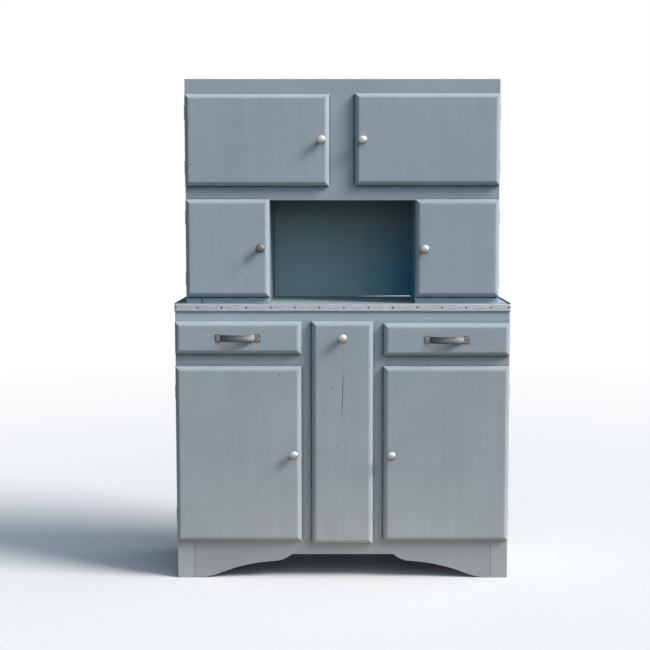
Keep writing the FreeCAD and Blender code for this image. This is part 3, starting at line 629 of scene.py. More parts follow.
def exposed(edge, own_node):
    """Whether nothing is joined to a board along either side of an edge."""
    start, end = (vertex.co for vertex in edge.verts)
    first, second = (face.normal for face in edge.link_faces)
    for share in (0.1, 0.5, 0.9):
        point = start.lerp(end, share)
        aside = (first - second) * PROBE
        if covered(point + aside, own_node) or covered(point - aside, own_node):
            return False
    return True


def inset_flats(mesh, eased):
    """Gives each plain broad face a band beside its edges, worn only beside the eased ones.

    A notched or curved face has no band, and is worn only on the eased edge itself.
    """
    worn = value_layer(mesh)
    notched = []
    for face in list(mesh.faces):
        longest = max(edge.calc_length() for edge in face.edges)
        width = face.calc_area() / longest
        if width < NARROW_FACE:
            continue
        if len(face.verts) > 4:
            notched.append(face)
            continue
        band = min(WEAR_BAND, WEAR_BAND_SHARE * width)
        bmesh.ops.inset_individual(mesh, faces=[face], thickness=band, use_even_offset=True)
    for vertex in mesh.verts:
        vertex[worn] = 1.0 if vertex in eased else 0.0
    for face in mesh.faces:
        face.smooth = all(vertex in eased for vertex in face.verts)
    for face in notched:
        face.smooth = False
        for vertex in face.verts:
            vertex[worn] = 0.0


def keep_corners_sharp(mesh):
    shaded_smooth(mesh)
    for edge in mesh.edges:
        edge.smooth = not edge.is_manifold or edge.calc_face_angle() < SHARP_ANGLE


def eased_board(node, materials, choose=None, reshape=None):
    """A board of the frame, eased and worn where its edges are exposed.

    choose picks a material's number for a face's normal and centre.
    reshape changes the mesh before it is eased.
    """
    mesh = welded_copy(node)
    edges = [
        edge for edge in mesh.edges
        if edge.is_manifold
        and edge.calc_face_angle() > SHARP_ANGLE
        and edge.calc_length() > EASED_EDGE_LENGTH
        and exposed(edge, node)
    ]
    if reshape:
        reshape(mesh)
    eased = bmesh.ops.bevel(
        mesh, geom=edges, offset=EASED_EDGE, segments=2, profile=0.5, affect="EDGES", clamp_overlap=False
    )
    inset_flats(mesh, set(eased["verts"]))
    if choose:
        mesh.normal_update()
        for face in mesh.faces:
            face.material_index = choose(face.normal, face.calc_center_median())
    return new_piece(node + "_board", mesh, materials, body_of[node], [node])


def lathe(mesh, profile, segments, to_place):
    """Turns a profile of (radius, height) points about its axis; to_place sets the result."""
    rings = []
    for radius, height in profile:
        if radius < WELD:
            rings.append([mesh.verts.new(to_place @ Vector((0, 0, height)))])
            continue
        ring = []
        for step in range(segments):
            angle = math.tau * step / segments
            point = Vector((radius * math.cos(angle), radius * math.sin(angle), height))
            ring.append(mesh.verts.new(to_place @ point))
        rings.append(ring)
    skin(mesh, rings)


def facing(centre, direction, turn=0.0):
    """A placement whose local Z points along the direction, turned about it."""
    rotation = Vector(direction).to_track_quat("Z", "Y").to_matrix().to_4x4()
    return Matrix.Translation(centre) @ rotation @ Matrix.Rotation(turn, 4, "Z")


def carve(piece, cutters):
    """Cuts the cutters out of a piece for good; the cut faces keep the cutters' materials."""
    for cutter in cutters:
        modifier = piece.modifiers.new("carve", "BOOLEAN")
        modifier.operation = "DIFFERENCE"
        modifier.solver = "EXACT"
        modifier.material_mode = "TRANSFER"
        modifier.object = cutter
    depsgraph = bpy.context.evaluated_depsgraph_get()
    carved = bpy.data.meshes.new_from_object(piece.evaluated_get(depsgraph))
    piece.modifiers.clear()
    piece.data = carved
    for cutter in cutters:
        bpy.data.objects.remove(cutter)


def cutter_of(mesh, material):
    turned_out(mesh)
    return loose_object("cutter", mesh, [material])


def rod_cutter(centre, axis, radius, length, material):
    mesh = bmesh.new()
    half = length / 2
    profile = [(0, -half), (radius, -half), (radius, half), (0, half)]
    lathe(mesh, profile, ROD_SEGMENTS, facing(centre, axis))
    return cutter_of(mesh, material)


# Bevelled fronts


def bevel_profile():
    """(inset, depth) points of a front's edge, from its back to its face, with the worn value of each."""
    start = Vector((0, PANEL_THICKNESS - PANEL_BEVEL))
    end = Vector((PANEL_BEVEL, PANEL_THICKNESS))
    half_chord = (end - start).length / 2
    reach = math.sqrt(BEVEL_RADIUS ** 2 - half_chord ** 2)
    inward = Vector((end.y - start.y, start.x - end.x)).normalized()
    centre = (start + end) / 2 + inward * reach
    first = math.atan2(start.y - centre.y, start.x - centre.x)
    last = math.atan2(end.y - centre.y, end.x - centre.x)
    points = [(WEAR_BAND, 0.0, 0.0), (PANEL_ARRIS, 0.0, 1.0)]
    points += [(0.0, PANEL_ARRIS, 1.0), (0.0, start.y - PANEL_ARRIS, 0.8)]
    for step in range(BEVEL_STEPS + 1):
        share = step / BEVEL_STEPS
        angle = first + (last - first) * share
        worn = max(1.0 - 4 * share, 0.55 * (share > 0.9))
        inset = centre.x + BEVEL_RADIUS * math.cos(angle)
        points.append((inset, centre.y + BEVEL_RADIUS * math.sin(angle), worn))
    points.append((PANEL_BEVEL + WEAR_BAND, PANEL_THICKNESS, 0.0))
    return points


def outline_ring(mesh, low, high, inset, y, radius, wear):
    """Vertices round an upright rectangle with small round corners, set in from two corners of a box."""
    worn = value_layer(mesh)
    left, right = low.x + inset + radius, high.x - inset - radius
    foot, head = low.z + inset + radius, high.z - inset - radius
    ring = []
    for x, z, start in ((right, head, 0), (left, head, 90), (left, foot, 180), (right, foot, 270)):
        for turn in (0, 30, 60, 90):
            angle = math.radians(start + turn)
            vertex = mesh.verts.new((x + radius * math.cos(angle), y, z + radius * math.sin(angle)))
            vertex[worn] = wear
            ring.append(vertex)
    return ring


def bevelled_front(node, material):
    """A door, drawer or bin front: flat face, round bevel and mitred corners."""
    low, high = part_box(node)
    mesh = bmesh.new()
    rings = []
    for inset, depth, wear in bevel_profile():
        corner = max(PANEL_CORNER - inset * PANEL_CORNER_TAPER, PANEL_CORNER_LEAST)
        rings.append(outline_ring(mesh, low, high, inset, high.y - depth, corner, wear))
    capped_skin(mesh, rings)
    turned_out(mesh)
    shaded_smooth(mesh)
    return new_piece(node + "_panel", mesh, [material], body_of[node], [node])


def barrel_cutters(node, fittings, on_right):
    """Room for the hinge barrels at the outer back edge of a door."""
    low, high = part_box(node)
    leaf_low, leaf_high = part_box(fittings)
    hinge_x = high.x if on_right else low.x
    pin_y = high.y + PANEL_GAP / 2
    radius = HINGE_BARREL + BARREL_CLEARANCE
    length = HINGE_LENGTH + 2 * BARREL_CLEARANCE
    middles = (leaf_low.z + HINGE_LENGTH / 2, leaf_high.z - HINGE_LENGTH / 2)
    return [rod_cutter((hinge_x, pin_y, middle), UP, radius, length, paint_upright) for middle in middles]


DENT_DEPTH = 0.0006
DOOR_DENTS = {"lower_left_door": (-0.2255, 0.7483, 0.0022), "upper_left_door": (-0.5435, 1.4990, 0.0024)}


def dent_cutter(x, z, radius, depth, face_y, material):
    """A shallow round knock in a front's face."""
    ball = (radius ** 2 + depth ** 2) / (2 * depth)
    mesh = bmesh.new()
    bmesh.ops.create_icosphere(mesh, subdivisions=4, radius=ball)
    bmesh.ops.translate(mesh, verts=mesh.verts, vec=(x, face_y - ball + depth, z))
    return cutter_of(mesh, material)


for door in DOORS:
    panel = bevelled_front(door, paint_upright)
    cutters = barrel_cutters(door, door + "_fittings", "right" in door)
    if door in DOOR_DENTS:
        x, z, radius = DOOR_DENTS[door]
        cutters.append(dent_cutter(x, z, radius, DENT_DEPTH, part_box(door)[0].y, split_wood))
    carve(panel, cutters)
    weighted_normals(panel)

for side in SIDES:
    weighted_normals(bevelled_front(f"{side}_drawer_front", paint_level))

# The bin's front, with the split that runs down its board

SPLIT_PATH = ((0.0043, 0.7735), (0.0011, 0.7014), (-0.0011, 0.6398), (-0.0032, 0.5709))
SPLIT_WIDTH = 0.0031
SPLIT_DEPTH = 0.006
SPLIT_PROUD = 0.002
SPLIT_WANDER = 0.0004
SPLIT_UNEVEN = (0.6, 1.15)
SPLIT_TIP = 0.06
SPLIT_STEPS = 8
CHECK_PATH = ((0.0046, 0.9250), (0.0050, 0.9050))
LOWER_CHECK_PATH = ((0.0040, 0.8520), (0.0046, 0.8150), (0.0041, 0.7800))
CHECK_WIDTH = 0.0007
BIN_DENTS = ((-0.0405, 0.7014, 0.0035), (-0.0173, 0.4872, 0.003), (-0.0554, 0.2086, 0.0025))


def split_cutter(path, width, face_y):
    """A thin wandering wedge along a path of (x, z) points, widest in its middle and closed at its ends."""
    outline = []
    for (x, z), (next_x, next_z) in zip(path, path[1:]):
        for step in range(SPLIT_STEPS):
            share = step / SPLIT_STEPS
            outline.append((x + (next_x - x) * share, z + (next_z - z) * share))
    outline.append(path[-1])
    mesh = bmesh.new()
    rings = []
    for index, (x, z) in enumerate(outline):
        share = index / (len(outline) - 1)
        opening = width / 2 * max(math.sin(math.pi * share), SPLIT_TIP) * chance.uniform(*SPLIT_UNEVEN)
        wander = chance.uniform(-SPLIT_WANDER, SPLIT_WANDER)
        front = face_y - SPLIT_PROUD
        corners = ((-opening, front), (opening, front), (0.0, face_y + SPLIT_DEPTH))
        rings.append([mesh.verts.new((x + wander + offset, y, z)) for offset, y in corners])
    capped_skin(mesh, rings)
    return cutter_of(mesh, split_wood)


bin_low, bin_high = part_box("bin_front")
bin_panel = bevelled_front("bin_front", paint_upright)
bin_hinges = islands("bin_hinge_leaves")
bin_cutters = [
    rod_cutter(
        ((low.x + high.x) / 2, bin_high.y + PANEL_GAP / 2, bin_low.z),
        RIGHT,
        HINGE_BARREL + BARREL_CLEARANCE,
        HINGE_LENGTH + 2 * BARREL_CLEARANCE,
        paint_upright,
    )
    for low, high in bin_hinges
]
for crack, width in ((SPLIT_PATH, SPLIT_WIDTH), (CHECK_PATH, CHECK_WIDTH), (LOWER_CHECK_PATH, CHECK_WIDTH)):
    bin_cutters.append(split_cutter(crack, width, bin_low.y))
for x, z, radius in BIN_DENTS:
    bin_cutters.append(dent_cutter(x, z, radius, DENT_DEPTH, bin_low.y, paint_bruise))
carve(bin_panel, bin_cutters)
weighted_normals(bin_panel)

# Frame boards

BACK_RISE = 0.0022
BACK_DROP = 0.0029
# The share of its normal along an axis from which a face counts as looking that way
LOOKING = 0.5


def outside_only(normal, centre):
    """Paint on the outer face and the edges of a side, bare wood on its inner face."""
    return 1 if normal.x * centre.x < -LOOKING * abs(centre.x) else 0


def bare_below(normal, centre):
    """Bare wood on the underside."""
    return 1 if normal.z < -LOOKING else 0


def niche_wall_finish(normal, centre):
    """Bare wood in the cupboards, the front's paint on the front edges; inside the niche, painted shade on
    the left wall and the niche's paint on the right.
    """
    if normal.y < -LOOKING:
        return 2
    if normal.x * centre.x > LOOKING * abs(centre.x):
        return 1
    return 3 if centre.x < 0 else 0


def opened_ends(gap, sides=(-1, 1)):
    """Draws a rail's left end (-1), right end (1) or both back from the posts, as an old joint opens."""
    def reshape(mesh):
        for side in sides:
            reach = max(side * vertex.co.x for vertex in mesh.verts)
            for vertex in mesh.verts:
                if side * vertex.co.x > reach - WELD:
                    vertex.co.x -= side * gap
    return reshape


def slant_lower_edge(mesh):
    """Cuts the foot of the hutch's back askew: tight on the worktop at the left, open towards the right."""
    low_z = min(vertex.co.z for vertex in mesh.verts)
    geometry = mesh.verts[:] + mesh.edges[:] + mesh.faces[:]
    bmesh.ops.bisect_plane(mesh, geom=geometry, plane_co=(0, 0, 0), plane_no=(1, 0, 0))
    for vertex in mesh.verts:
        if vertex.co.z < low_z + WELD:
            vertex.co.z += BACK_RISE if vertex.co.x > WELD else -BACK_DROP


for node in ("base_posts", "base_inner_stiles", "hutch_corner_stiles", "hutch_centre_stile"):
    eased_board(node, [paint_upright])
for node in ("base_top_rail", "base_drawer_rails", "hutch_top_rail", "hutch_niche_rail"):
    eased_board(node, [paint_level])
eased_board("base_apron", [paint_apron], reshape=opened_ends(OPEN_JOINT))
eased_board("hutch_bottom_rails", [paint_level], reshape=opened_ends(WIDE_JOINT, sides=(-1,)))
eased_board("base_sides", [paint_upright, wood_z], choose=outside_only)
eased_board("hutch_sides", [paint_upright, wood_z], choose=outside_only)
eased_board("hutch_top", [paint_level, wood_x], choose=bare_below)
eased_board(
    "hutch_niche_walls",
    [paint_niche, wood_z, paint_upright, paint_niche_wall_shade],
    choose=niche_wall_finish,
)
eased_board(
    "hutch_middle_floor",
    [paint_niche, wood_x],
    choose=lambda normal, centre: 1 if normal.z > LOOKING else 0,
)
eased_board(
    "hutch_back",
    [paint_niche, plywood],
    choose=lambda normal, centre: 1 if normal.y > LOOKING else 0,
    reshape=slant_lower_edge,
)
eased_board("worktop", [worktop_cover, wood_x], choose=bare_below)
eased_board("base_back", [plywood])
# The base floor's underside is aged wood, made darker as painted shade
eased_board("base_floor", [wood_x, aged_shaded_wood], choose=bare_below)

# Painted shade on the frame round the fronts and on the worktop's ledge, and dirt in an opened joint

SHADE_LINE_WIDTH = 0.0036
SHADE_AND_DIRT_FADE = 3.0
SMALL_DOOR_SHADE_WIDTH = 0.0065
LEDGE_SHADE_WIDTH = 0.018
JOINT_GRIME_WIDTH = 0.0015
SHADE_AND_DIRT_TUCK = 0.002
SHADE_AND_DIRT_LIFT = 0.00015
SHADE_LINE_MARGIN = 0.004
SHADE_AND_DIRT_STEP = 0.02
SHADE_AND_DIRT_UNEVEN = (0.85, 1.15)
# How dark the painted shade is on each side of each front
SHADE_LINES = {
    "below": {
        "upper_left_door": 1.0,
        "upper_right_door": 1.0,
        "small_left_door": 1.0,
        "small_right_door": 1.0,
        "left_drawer_front": 1.0,
        "right_drawer_front": 1.0,
        "lower_left_door": 0.6,
        "lower_right_door": 0.6,
        "bin_front": 0.6,
    },
    "left": {"upper_right_door": 0.8, "right_drawer_front": 0.8, "lower_right_door": 0.8, "bin_front": 0.8},
    "above": {
        "upper_left_door": 0.25,
        "upper_right_door": 0.25,
        "small_left_door": 0.5,
        "small_right_door": 0.45,
        "lower_left_door": 0.35,
        "lower_right_door": 0.5,
    },
    "right": {"upper_left_door": 0.3, "lower_left_door": 0.6, "bin_front": 0.4},
}
SHADE_LINE_AWAY = {"below": -UP, "left": -RIGHT, "above": UP, "right": RIGHT}
SHADE_LINE_HAZE = {"left": 0.3, "right": 0.5}
LEDGE_HAZE = 0.7
SHADE_ON_LEDGE = {"small_left_door": 0.75, "small_right_door": 0.45}


def shade_and_dirt_line(mesh, start, end, away, outward, darkness, width=SHADE_LINE_WIDTH, haze=0.0):
    """A dark line on a board whose face looks outward, darkest along its start and fading away from it:
    painted shade beside the fronts and on the ledge, dirt along the joint.

    haze is the dark share of its outer part, which is SHADE_AND_DIRT_FADE times as wide.
    """
    dirt = value_layer(mesh)
    # The lines' values: painted shade, and dirt on the joint's line
    steps = max(round((end - start).length / SHADE_AND_DIRT_STEP), 1)
    rows = []
    for step in range(steps + 1):
        point = start.lerp(end, step / steps)
        reach = width * chance.uniform(*SHADE_AND_DIRT_UNEVEN)
        row = []
        for distance, share in ((-SHADE_AND_DIRT_TUCK, 1), (reach * 0.5, 1), (reach, haze), (width * SHADE_AND_DIRT_FADE, 0)):
            vertex = mesh.verts.new(point + away * distance)
            vertex[dirt] = share * darkness
            row.append(vertex)
        rows.append(row)
    for first, second in zip(rows, rows[1:]):
        for step in range(3):
            face = mesh.faces.new((first[step], first[step + 1], second[step + 1], second[step]))
            face.normal_update()
            if face.normal.dot(outward) < 0:
                face.normal_flip()


shade_and_dirt = bmesh.new()
hutch_face_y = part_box("hutch_centre_stile")[0].y
base_face_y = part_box("base_inner_stiles")[0].y
for side, fronts in SHADE_LINES.items():
    for front, darkness in fronts.items():
        low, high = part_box(front)
        y = (hutch_face_y if front.startswith(("upper", "small")) else base_face_y) - SHADE_AND_DIRT_LIFT
        edge = high if side in ("above", "right") else low
        if side in ("below", "above"):
            ends = [Vector((x, y, edge.z)) for x in (low.x + SHADE_LINE_MARGIN, high.x - SHADE_LINE_MARGIN)]
        else:
            ends = [Vector((edge.x, y, z)) for z in (low.z + SHADE_LINE_MARGIN, high.z - SHADE_LINE_MARGIN)]
        wide = side == "below" and front.startswith("small")
        width = SMALL_DOOR_SHADE_WIDTH if wide else SHADE_LINE_WIDTH
        shade_and_dirt_line(shade_and_dirt, *ends, SHADE_LINE_AWAY[side], FRONT, darkness, width, SHADE_LINE_HAZE.get(side, 0.0))
# Painted shade on the worktop's ledge in front of the small doors
ledge_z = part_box("worktop")[1].z + SHADE_AND_DIRT_LIFT
for front, darkness in SHADE_ON_LEDGE.items():
    low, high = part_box(front)
    ends = [Vector((x, hutch_face_y, ledge_z)) for x in (low.x + SHADE_LINE_MARGIN, high.x - SHADE_LINE_MARGIN)]
    shade_and_dirt_line(shade_and_dirt, *ends, FRONT, UP, darkness, LEDGE_SHADE_WIDTH, LEDGE_HAZE)
rail_low, rail_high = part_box("hutch_bottom_rails")
joint_x = rail_low.x + WIDE_JOINT / 2
joint_y = hutch_face_y - 2 * SHADE_AND_DIRT_LIFT
joint_ends = [Vector((joint_x, joint_y, z)) for z in (ledge_z, rail_high.z)]
shade_and_dirt_line(shade_and_dirt, *joint_ends, RIGHT, FRONT, 1.0, JOINT_GRIME_WIDTH)
new_piece("frame_shade_and_dirt", shade_and_dirt, [paint_shade_and_dirt], "carcass")

BARE_NODES = {
    "base_partitions": wood_z,
    "base_shelves": wood_x,
    "base_battens": wood_y,
    "hutch_cupboard_floors": wood_x,
    "bin_sides": wood_z,
    "bin_bottom": wood_x,
    "bin_back": wood_z,
    "left_drawer_walls": wood_y,
    "right_drawer_walls": wood_y,
    "left_drawer_bottom": plywood,
    "right_drawer_bottom": plywood,
    "door_catches": wood_z,
    "bin_hinge_leaves": hinge_metal,
}
for node, material in BARE_NODES.items():
    for holder in cad[node].material_slots:
        holder.material = material

# Upright hinges: steel leaves, and barrels that were painted over with the front

BARREL_REACH = 0.0032


def painted_hinges(node):
    pins = []
    for low, high in islands(node):
        outer_x = high.x - HINGE_BARREL if high.x > 0 else low.x + HINGE_BARREL
        if abs(high.z - low.z - HINGE_LENGTH) < LEAF_PLAY or high.y - low.y > HINGE_BARREL:
            pins.append((outer_x, (low.y + high.y) / 2))
    mesh = welded_copy(node)
    for face in mesh.faces:
        centre = face.calc_center_median()
        if any(math.hypot(centre.x - x, centre.y - y) < BARREL_REACH for x, y in pins):
            face.material_index = 1
    keep_corners_sharp(mesh)
    new_piece(node + "_worn", mesh, [hinge_metal, paint_upright], body_of[node], [node])


painted_hinges("frame_hinges")
for door in DOORS:
    painted_hinges(door + "_fittings")

# Knobs

KNOB_RADIUS = 0.0165
KNOB_RIM = 0.0192
KNOB_DOME = 0.0088
KNOB_UNDERSIDE = 0.0072
KNOB_UNDERSIDE_DEGREES = 66
KNOB_FOOT = ((0.0092, 0.0000), (0.0098, 0.0008), (0.0090, 0.0022), (0.0072, 0.0044), (0.0066, 0.0080))
KNOB_SEGMENTS = 48
KNOB_STEPS = 9


def knob_profile():
    """A foot and a slim neck, a round underside and a domed face."""
    points = list(KNOB_FOOT)
    for step in range(KNOB_STEPS):
        angle = math.radians(KNOB_UNDERSIDE_DEGREES * (1 - step / KNOB_STEPS))
        points.append((KNOB_RADIUS * math.cos(angle), KNOB_RIM - KNOB_UNDERSIDE * math.sin(angle)))
    for step in range(KNOB_STEPS + 1):
        angle = math.radians(90 * step / KNOB_STEPS)
        points.append((KNOB_RADIUS * math.cos(angle), KNOB_RIM + KNOB_DOME * math.sin(angle)))
    return points


def knob(node, material):
    """A turned mushroom knob on a slim neck."""
    low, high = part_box(node)
    seat = Vector(((low.x + high.x) / 2, high.y, (low.z + high.z) / 2))
    mesh = bmesh.new()
    lathe(mesh, knob_profile(), KNOB_SEGMENTS, facing(seat, FRONT))
    bmesh.ops.holes_fill(mesh, edges=[edge for edge in mesh.edges if edge.is_boundary])
    turned_out(mesh)
    shaded_smooth(mesh)
    return new_piece(node + "_turned", mesh, [material], body_of[node], [node])


for node in cad:
    if node.endswith("_knob"):
        worn_one = node == "small_left_door_knob"
        knob(node, brass if worn_one else aluminium)

# Screws, all copies of one master, and nails

SCREW_PROFILE = ((0, -0.3), (0.97, -0.3), (1.0, 0.0), (0.94, 0.12), (0.75, 0.22), (0.4, 0.29), (0, 0.31))
SCREW_SEGMENTS = 24
SCREW_SLOT = (2.4, 0.2, 0.5)
SCREW_SLOT_HEIGHT = 0.3
# Shares of a nail head's radius and height
NAIL_PROFILE = ((1, 0), (0.92, 0.55), (0.6, 0.9), (0, 1))
NAIL_SEGMENTS = 16
NAIL_TILT = 0.1


def screw_master():
    """A slotted, slightly domed screw head of radius 1, its rim at height 0."""
    mesh = bmesh.new()
    lathe(mesh, SCREW_PROFILE, SCREW_SEGMENTS, Matrix.Identity(4))
    turned_out(mesh)
    head = loose_object("screw", mesh)
    slot_mesh = bmesh.new()
    bmesh.ops.create_cube(slot_mesh, size=1)
    bmesh.ops.scale(slot_mesh, vec=SCREW_SLOT, verts=slot_mesh.verts)
    bmesh.ops.translate(slot_mesh, vec=(0, 0, SCREW_SLOT_HEIGHT), verts=slot_mesh.verts)
    carve(head, [cutter_of(slot_mesh, nail_metal)])
    master = head.data
    bpy.data.objects.remove(head)
    return master


SCREW = screw_master()


def add_screw(mesh, centre, direction, radius, sink=0.0):
    """Adds a screw head to a mesh, its slot turned at random, sunk by a share of its radius."""
    before = set(mesh.verts)
    mesh.from_mesh(SCREW)
    placed = facing(Vector(centre) - Vector(direction) * sink, direction, chance.uniform(0, math.pi))
    added = [vertex for vertex in mesh.verts if vertex not in before]
    bmesh.ops.transform(mesh, matrix=placed @ Matrix.Scale(radius, 4), verts=added)


def add_nail(mesh, centre, direction, radius, height):
    """Adds a small domed nail head to a mesh, a little off true."""
    tilt = Vector([chance.uniform(-NAIL_TILT, NAIL_TILT) for axis in range(3)])
    profile = [(radius * across, height * up) for across, up in NAIL_PROFILE]
    lathe(mesh, profile, NAIL_SEGMENTS, facing(centre, (Vector(direction) + tilt).normalized()))


# Worktop edging: strips of soft metal, dented a little at each nail

# Shares of the strip's thickness and height, and the darkening of its lower edge with painted shade and dirt,
# round its section
STRIP_SECTION = (
    (0.0, 0.0, 1.0), (0.75, 0.0, 1.0), (1.0, 0.03, 1.0), (1.0, 0.09, 0.5),
    (1.0, 0.16, 0.0), (1.0, 0.3, 0.0), (1.0, 0.5, 0.0), (1.0, 0.7, 0.0),
    (1.0, 0.86, 0.0), (0.9, 0.95, 0.0), (0.6, 1.0, 0.0), (0.0, 1.0, 0.0),
)
STRIP_STEP = 0.006
STRIP_WAVE = 0.00025
NAIL_DENT = 0.0005
NAIL_DENT_SPREAD = 0.006
NAIL_HEAD_HEIGHT = 0.0008
NAIL_HEAD_SPREAD = 1.35
# From this row of the section up, a side strip takes its lip's painted shade
LIP_ROW = 8

nail_boxes = islands("edging_nails")
nail_centres = [(low + high) / 2 for low, high in nail_boxes]


def wave(position, seed):
    """A slow unevenness between -1 and 1 along a strip."""
    quick = math.sin(position * 61 + seed * 2.3)
    return (quick + math.sin(position * 23 + seed) + math.sin(position * 7.3)) / 3


def edging_strip(mesh, low, high, along, out, seed):
    """A strip between two corners; along is its long axis, out the way that its shown face looks."""
    worn = value_layer(mesh)
    across = 1 - along
    outer = low[across] if out < 0 else high[across]
    inner = high[across] if out < 0 else low[across]
    thickness = abs(outer - inner)
    height = high.z - low.z
    count = max(int((high[along] - low[along]) / STRIP_STEP), 2)
    rings = []
    for step in range(count + 1):
        position = low[along] + (high[along] - low[along]) * step / count
        ring = []
        for share_out, share_up, wear in STRIP_SECTION:
            point = Vector((0, 0, low.z + height * share_up))
            point[along] = position
            dent = 0.0
            for centre in nail_centres:
                if along == 0:
                    distance = math.hypot(position - centre.x, point.z - centre.z)
                    dent += NAIL_DENT * math.exp(-(distance / NAIL_DENT_SPREAD) ** 2)
            give = (STRIP_WAVE * wave(position, seed) - dent) * share_out
            point[across] = inner + math.copysign(thickness * share_out + give, out)
            point.z += STRIP_WAVE * wave(position, seed + 1.7) * share_up
            vertex = mesh.verts.new(point)
            vertex[worn] = wear
            ring.append(vertex)
        rings.append(ring)
    for index, face in enumerate(capped_skin(mesh, rings)):
        if along == 1 and index % len(STRIP_SECTION) >= LIP_ROW:
            face.material_index = 1


edging_low, edging_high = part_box("worktop_edging")
top_low, top_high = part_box("worktop")
edging = bmesh.new()
front_end = Vector((edging_high.x, top_low.y, top_high.z))
edging_strip(edging, edging_low, front_end, 0, -1, 0)
for seed, (start, end) in enumerate(((edging_low.x, top_low.x), (top_high.x, edging_high.x)), start=1):
    side_start = Vector((start, top_low.y, edging_low.z))
    side_end = Vector((end, edging_high.y, edging_high.z))
    edging_strip(edging, side_start, side_end, 1, math.copysign(1, start), seed)
turned_out(edging)
shaded_smooth(edging)
edging_finish = [edging_metal, lip_shade_metal]
strips = new_piece("worktop_edging_strips", edging, edging_finish, "carcass", ["worktop_edging"])
weighted_normals(strips)

nails = bmesh.new()
for low, high in nail_boxes:
    seat = Vector(((low.x + high.x) / 2, high.y + NAIL_DENT * 0.8, (low.z + high.z) / 2))
    add_nail(nails, seat, FRONT, NAIL_HEAD_SPREAD * (high.x - low.x) / 2, NAIL_HEAD_HEIGHT)
shaded_smooth(nails)
new_piece("edging_nail_heads", nails, [edging_nail_metal], "carcass", ["edging_nails"])

# Drawer handles: a ribbed strap bow between two screwed end plates

STRAP_THICKNESS = 0.0022
PLATE_LENGTH = 0.018
PLATE_THICKNESS = 0.002
PLATE_TUCK = 0.003
PLATE_CORNER = 0.003
# Inset, share of the thickness and the rim's painted shade round a plate's edge
PLATE_SECTION = ((0, 0, 1), (0, 0.6, 1), (0.0008, 0.9, 1), (0.002, 1.0, 0.7), (0.004, 0.97, 0))
RIB_HEIGHT = 0.0004
RIB_COUNT = 2
CROWN = 0.0016
STRAP_INSET = 0.0022
STRAP_STEPS = 36
STRAP_ROWS = 24
PLATE_SCREW = 0.0032


def strap(node):
    """The bow: its outer face is crowned and lightly ribbed along its length, its inner face is smooth."""
    low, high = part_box(node)
    seat_y = high.y
    middle = (low + high) / 2
    half_width = (high.z - low.z) / 2 - STRAP_INSET
    half_bow = (high.x - low.x) / 2 - PLATE_LENGTH
    projection = seat_y - low.y
    rise = projection - PLATE_THICKNESS
    radius = (half_bow ** 2 + rise ** 2) / (2 * rise)
    reach = math.asin(half_bow / radius)
    mesh = bmesh.new()
    worn = value_layer(mesh)
    along = value_layer(mesh, "along")
    rings = []
    for step in range(STRAP_STEPS + 1):
        angle = reach * (2 * step / STRAP_STEPS - 1)
        outward = Vector((math.sin(angle), -math.cos(angle), 0))
        centre = Vector((middle.x, seat_y - projection + radius, middle.z))
        ring = []
        for row in range(STRAP_ROWS + 1):
            across = 2 * row / STRAP_ROWS - 1
            ribs = 0.5 + 0.5 * math.cos(math.pi * across * RIB_COUNT)
            lift = RIB_HEIGHT * (ribs - 1) - CROWN * abs(across) ** 4
            vertex = mesh.verts.new(centre + outward * (radius + lift) + UP * (half_width * across))
            vertex[worn] = abs(across) ** 3
            ring.append(vertex)
        for across in (1, 0, -1):
            inner = centre + outward * (radius - STRAP_THICKNESS)
            vertex = mesh.verts.new(inner + UP * (half_width * 0.97 * across))
            vertex[worn] = 1.0
            ring.append(vertex)
        for vertex in ring:
            vertex[along] = step / STRAP_STEPS
        rings.append(ring)
    capped_skin(mesh, rings)
    turned_out(mesh)
    shaded_smooth(mesh)
    weighted_normals(new_piece(node + "_strap", mesh, [strap_metal], body_of[node], [node]))


def handle_plates(node):
    """The two end plates with rounded corners, pressed edges and a screw in each."""
    low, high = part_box(node)
    plates = bmesh.new()
    screws = bmesh.new()
    length = PLATE_LENGTH + PLATE_TUCK
    for start, end in ((low.x, low.x + length), (high.x - length, high.x)):
        plate_low = Vector((start, 0, low.z))
        plate_high = Vector((end, 0, high.z))
        rings = []
        for inset, depth, wear in PLATE_SECTION:
            y = high.y - PLATE_THICKNESS * depth
            corner = PLATE_CORNER - inset / 2
            rings.append(outline_ring(plates, plate_low, plate_high, inset, y, corner, wear))
        capped_skin(plates, rings)
        screw_x = start + PLATE_LENGTH / 2 if start == low.x else end - PLATE_LENGTH / 2
        add_screw(screws, (screw_x, high.y - PLATE_THICKNESS, (low.z + high.z) / 2), FRONT, PLATE_SCREW)
    turned_out(plates)
    shaded_smooth(plates)
    weighted_normals(new_piece(node + "_plates", plates, [plate_metal], body_of[node]))
    shaded_smooth(screws)
    weighted_normals(new_piece(node + "_screws", screws, [plate_metal, nail_metal], body_of[node]))


for side in SIDES:
    strap(f"{side}_drawer_handle")
    handle_plates(f"{side}_drawer_handle")

# Nails round the back panels

BACK_NAIL = 0.0035
BACK_NAIL_HEIGHT = 0.0012
BACK_NAIL_MARGIN = 0.009
BACK_NAIL_PITCH = 0.11
BACK_NAIL_SINK = 0.0001
BACK_NAIL_STRAY = (0.003, 0.002)


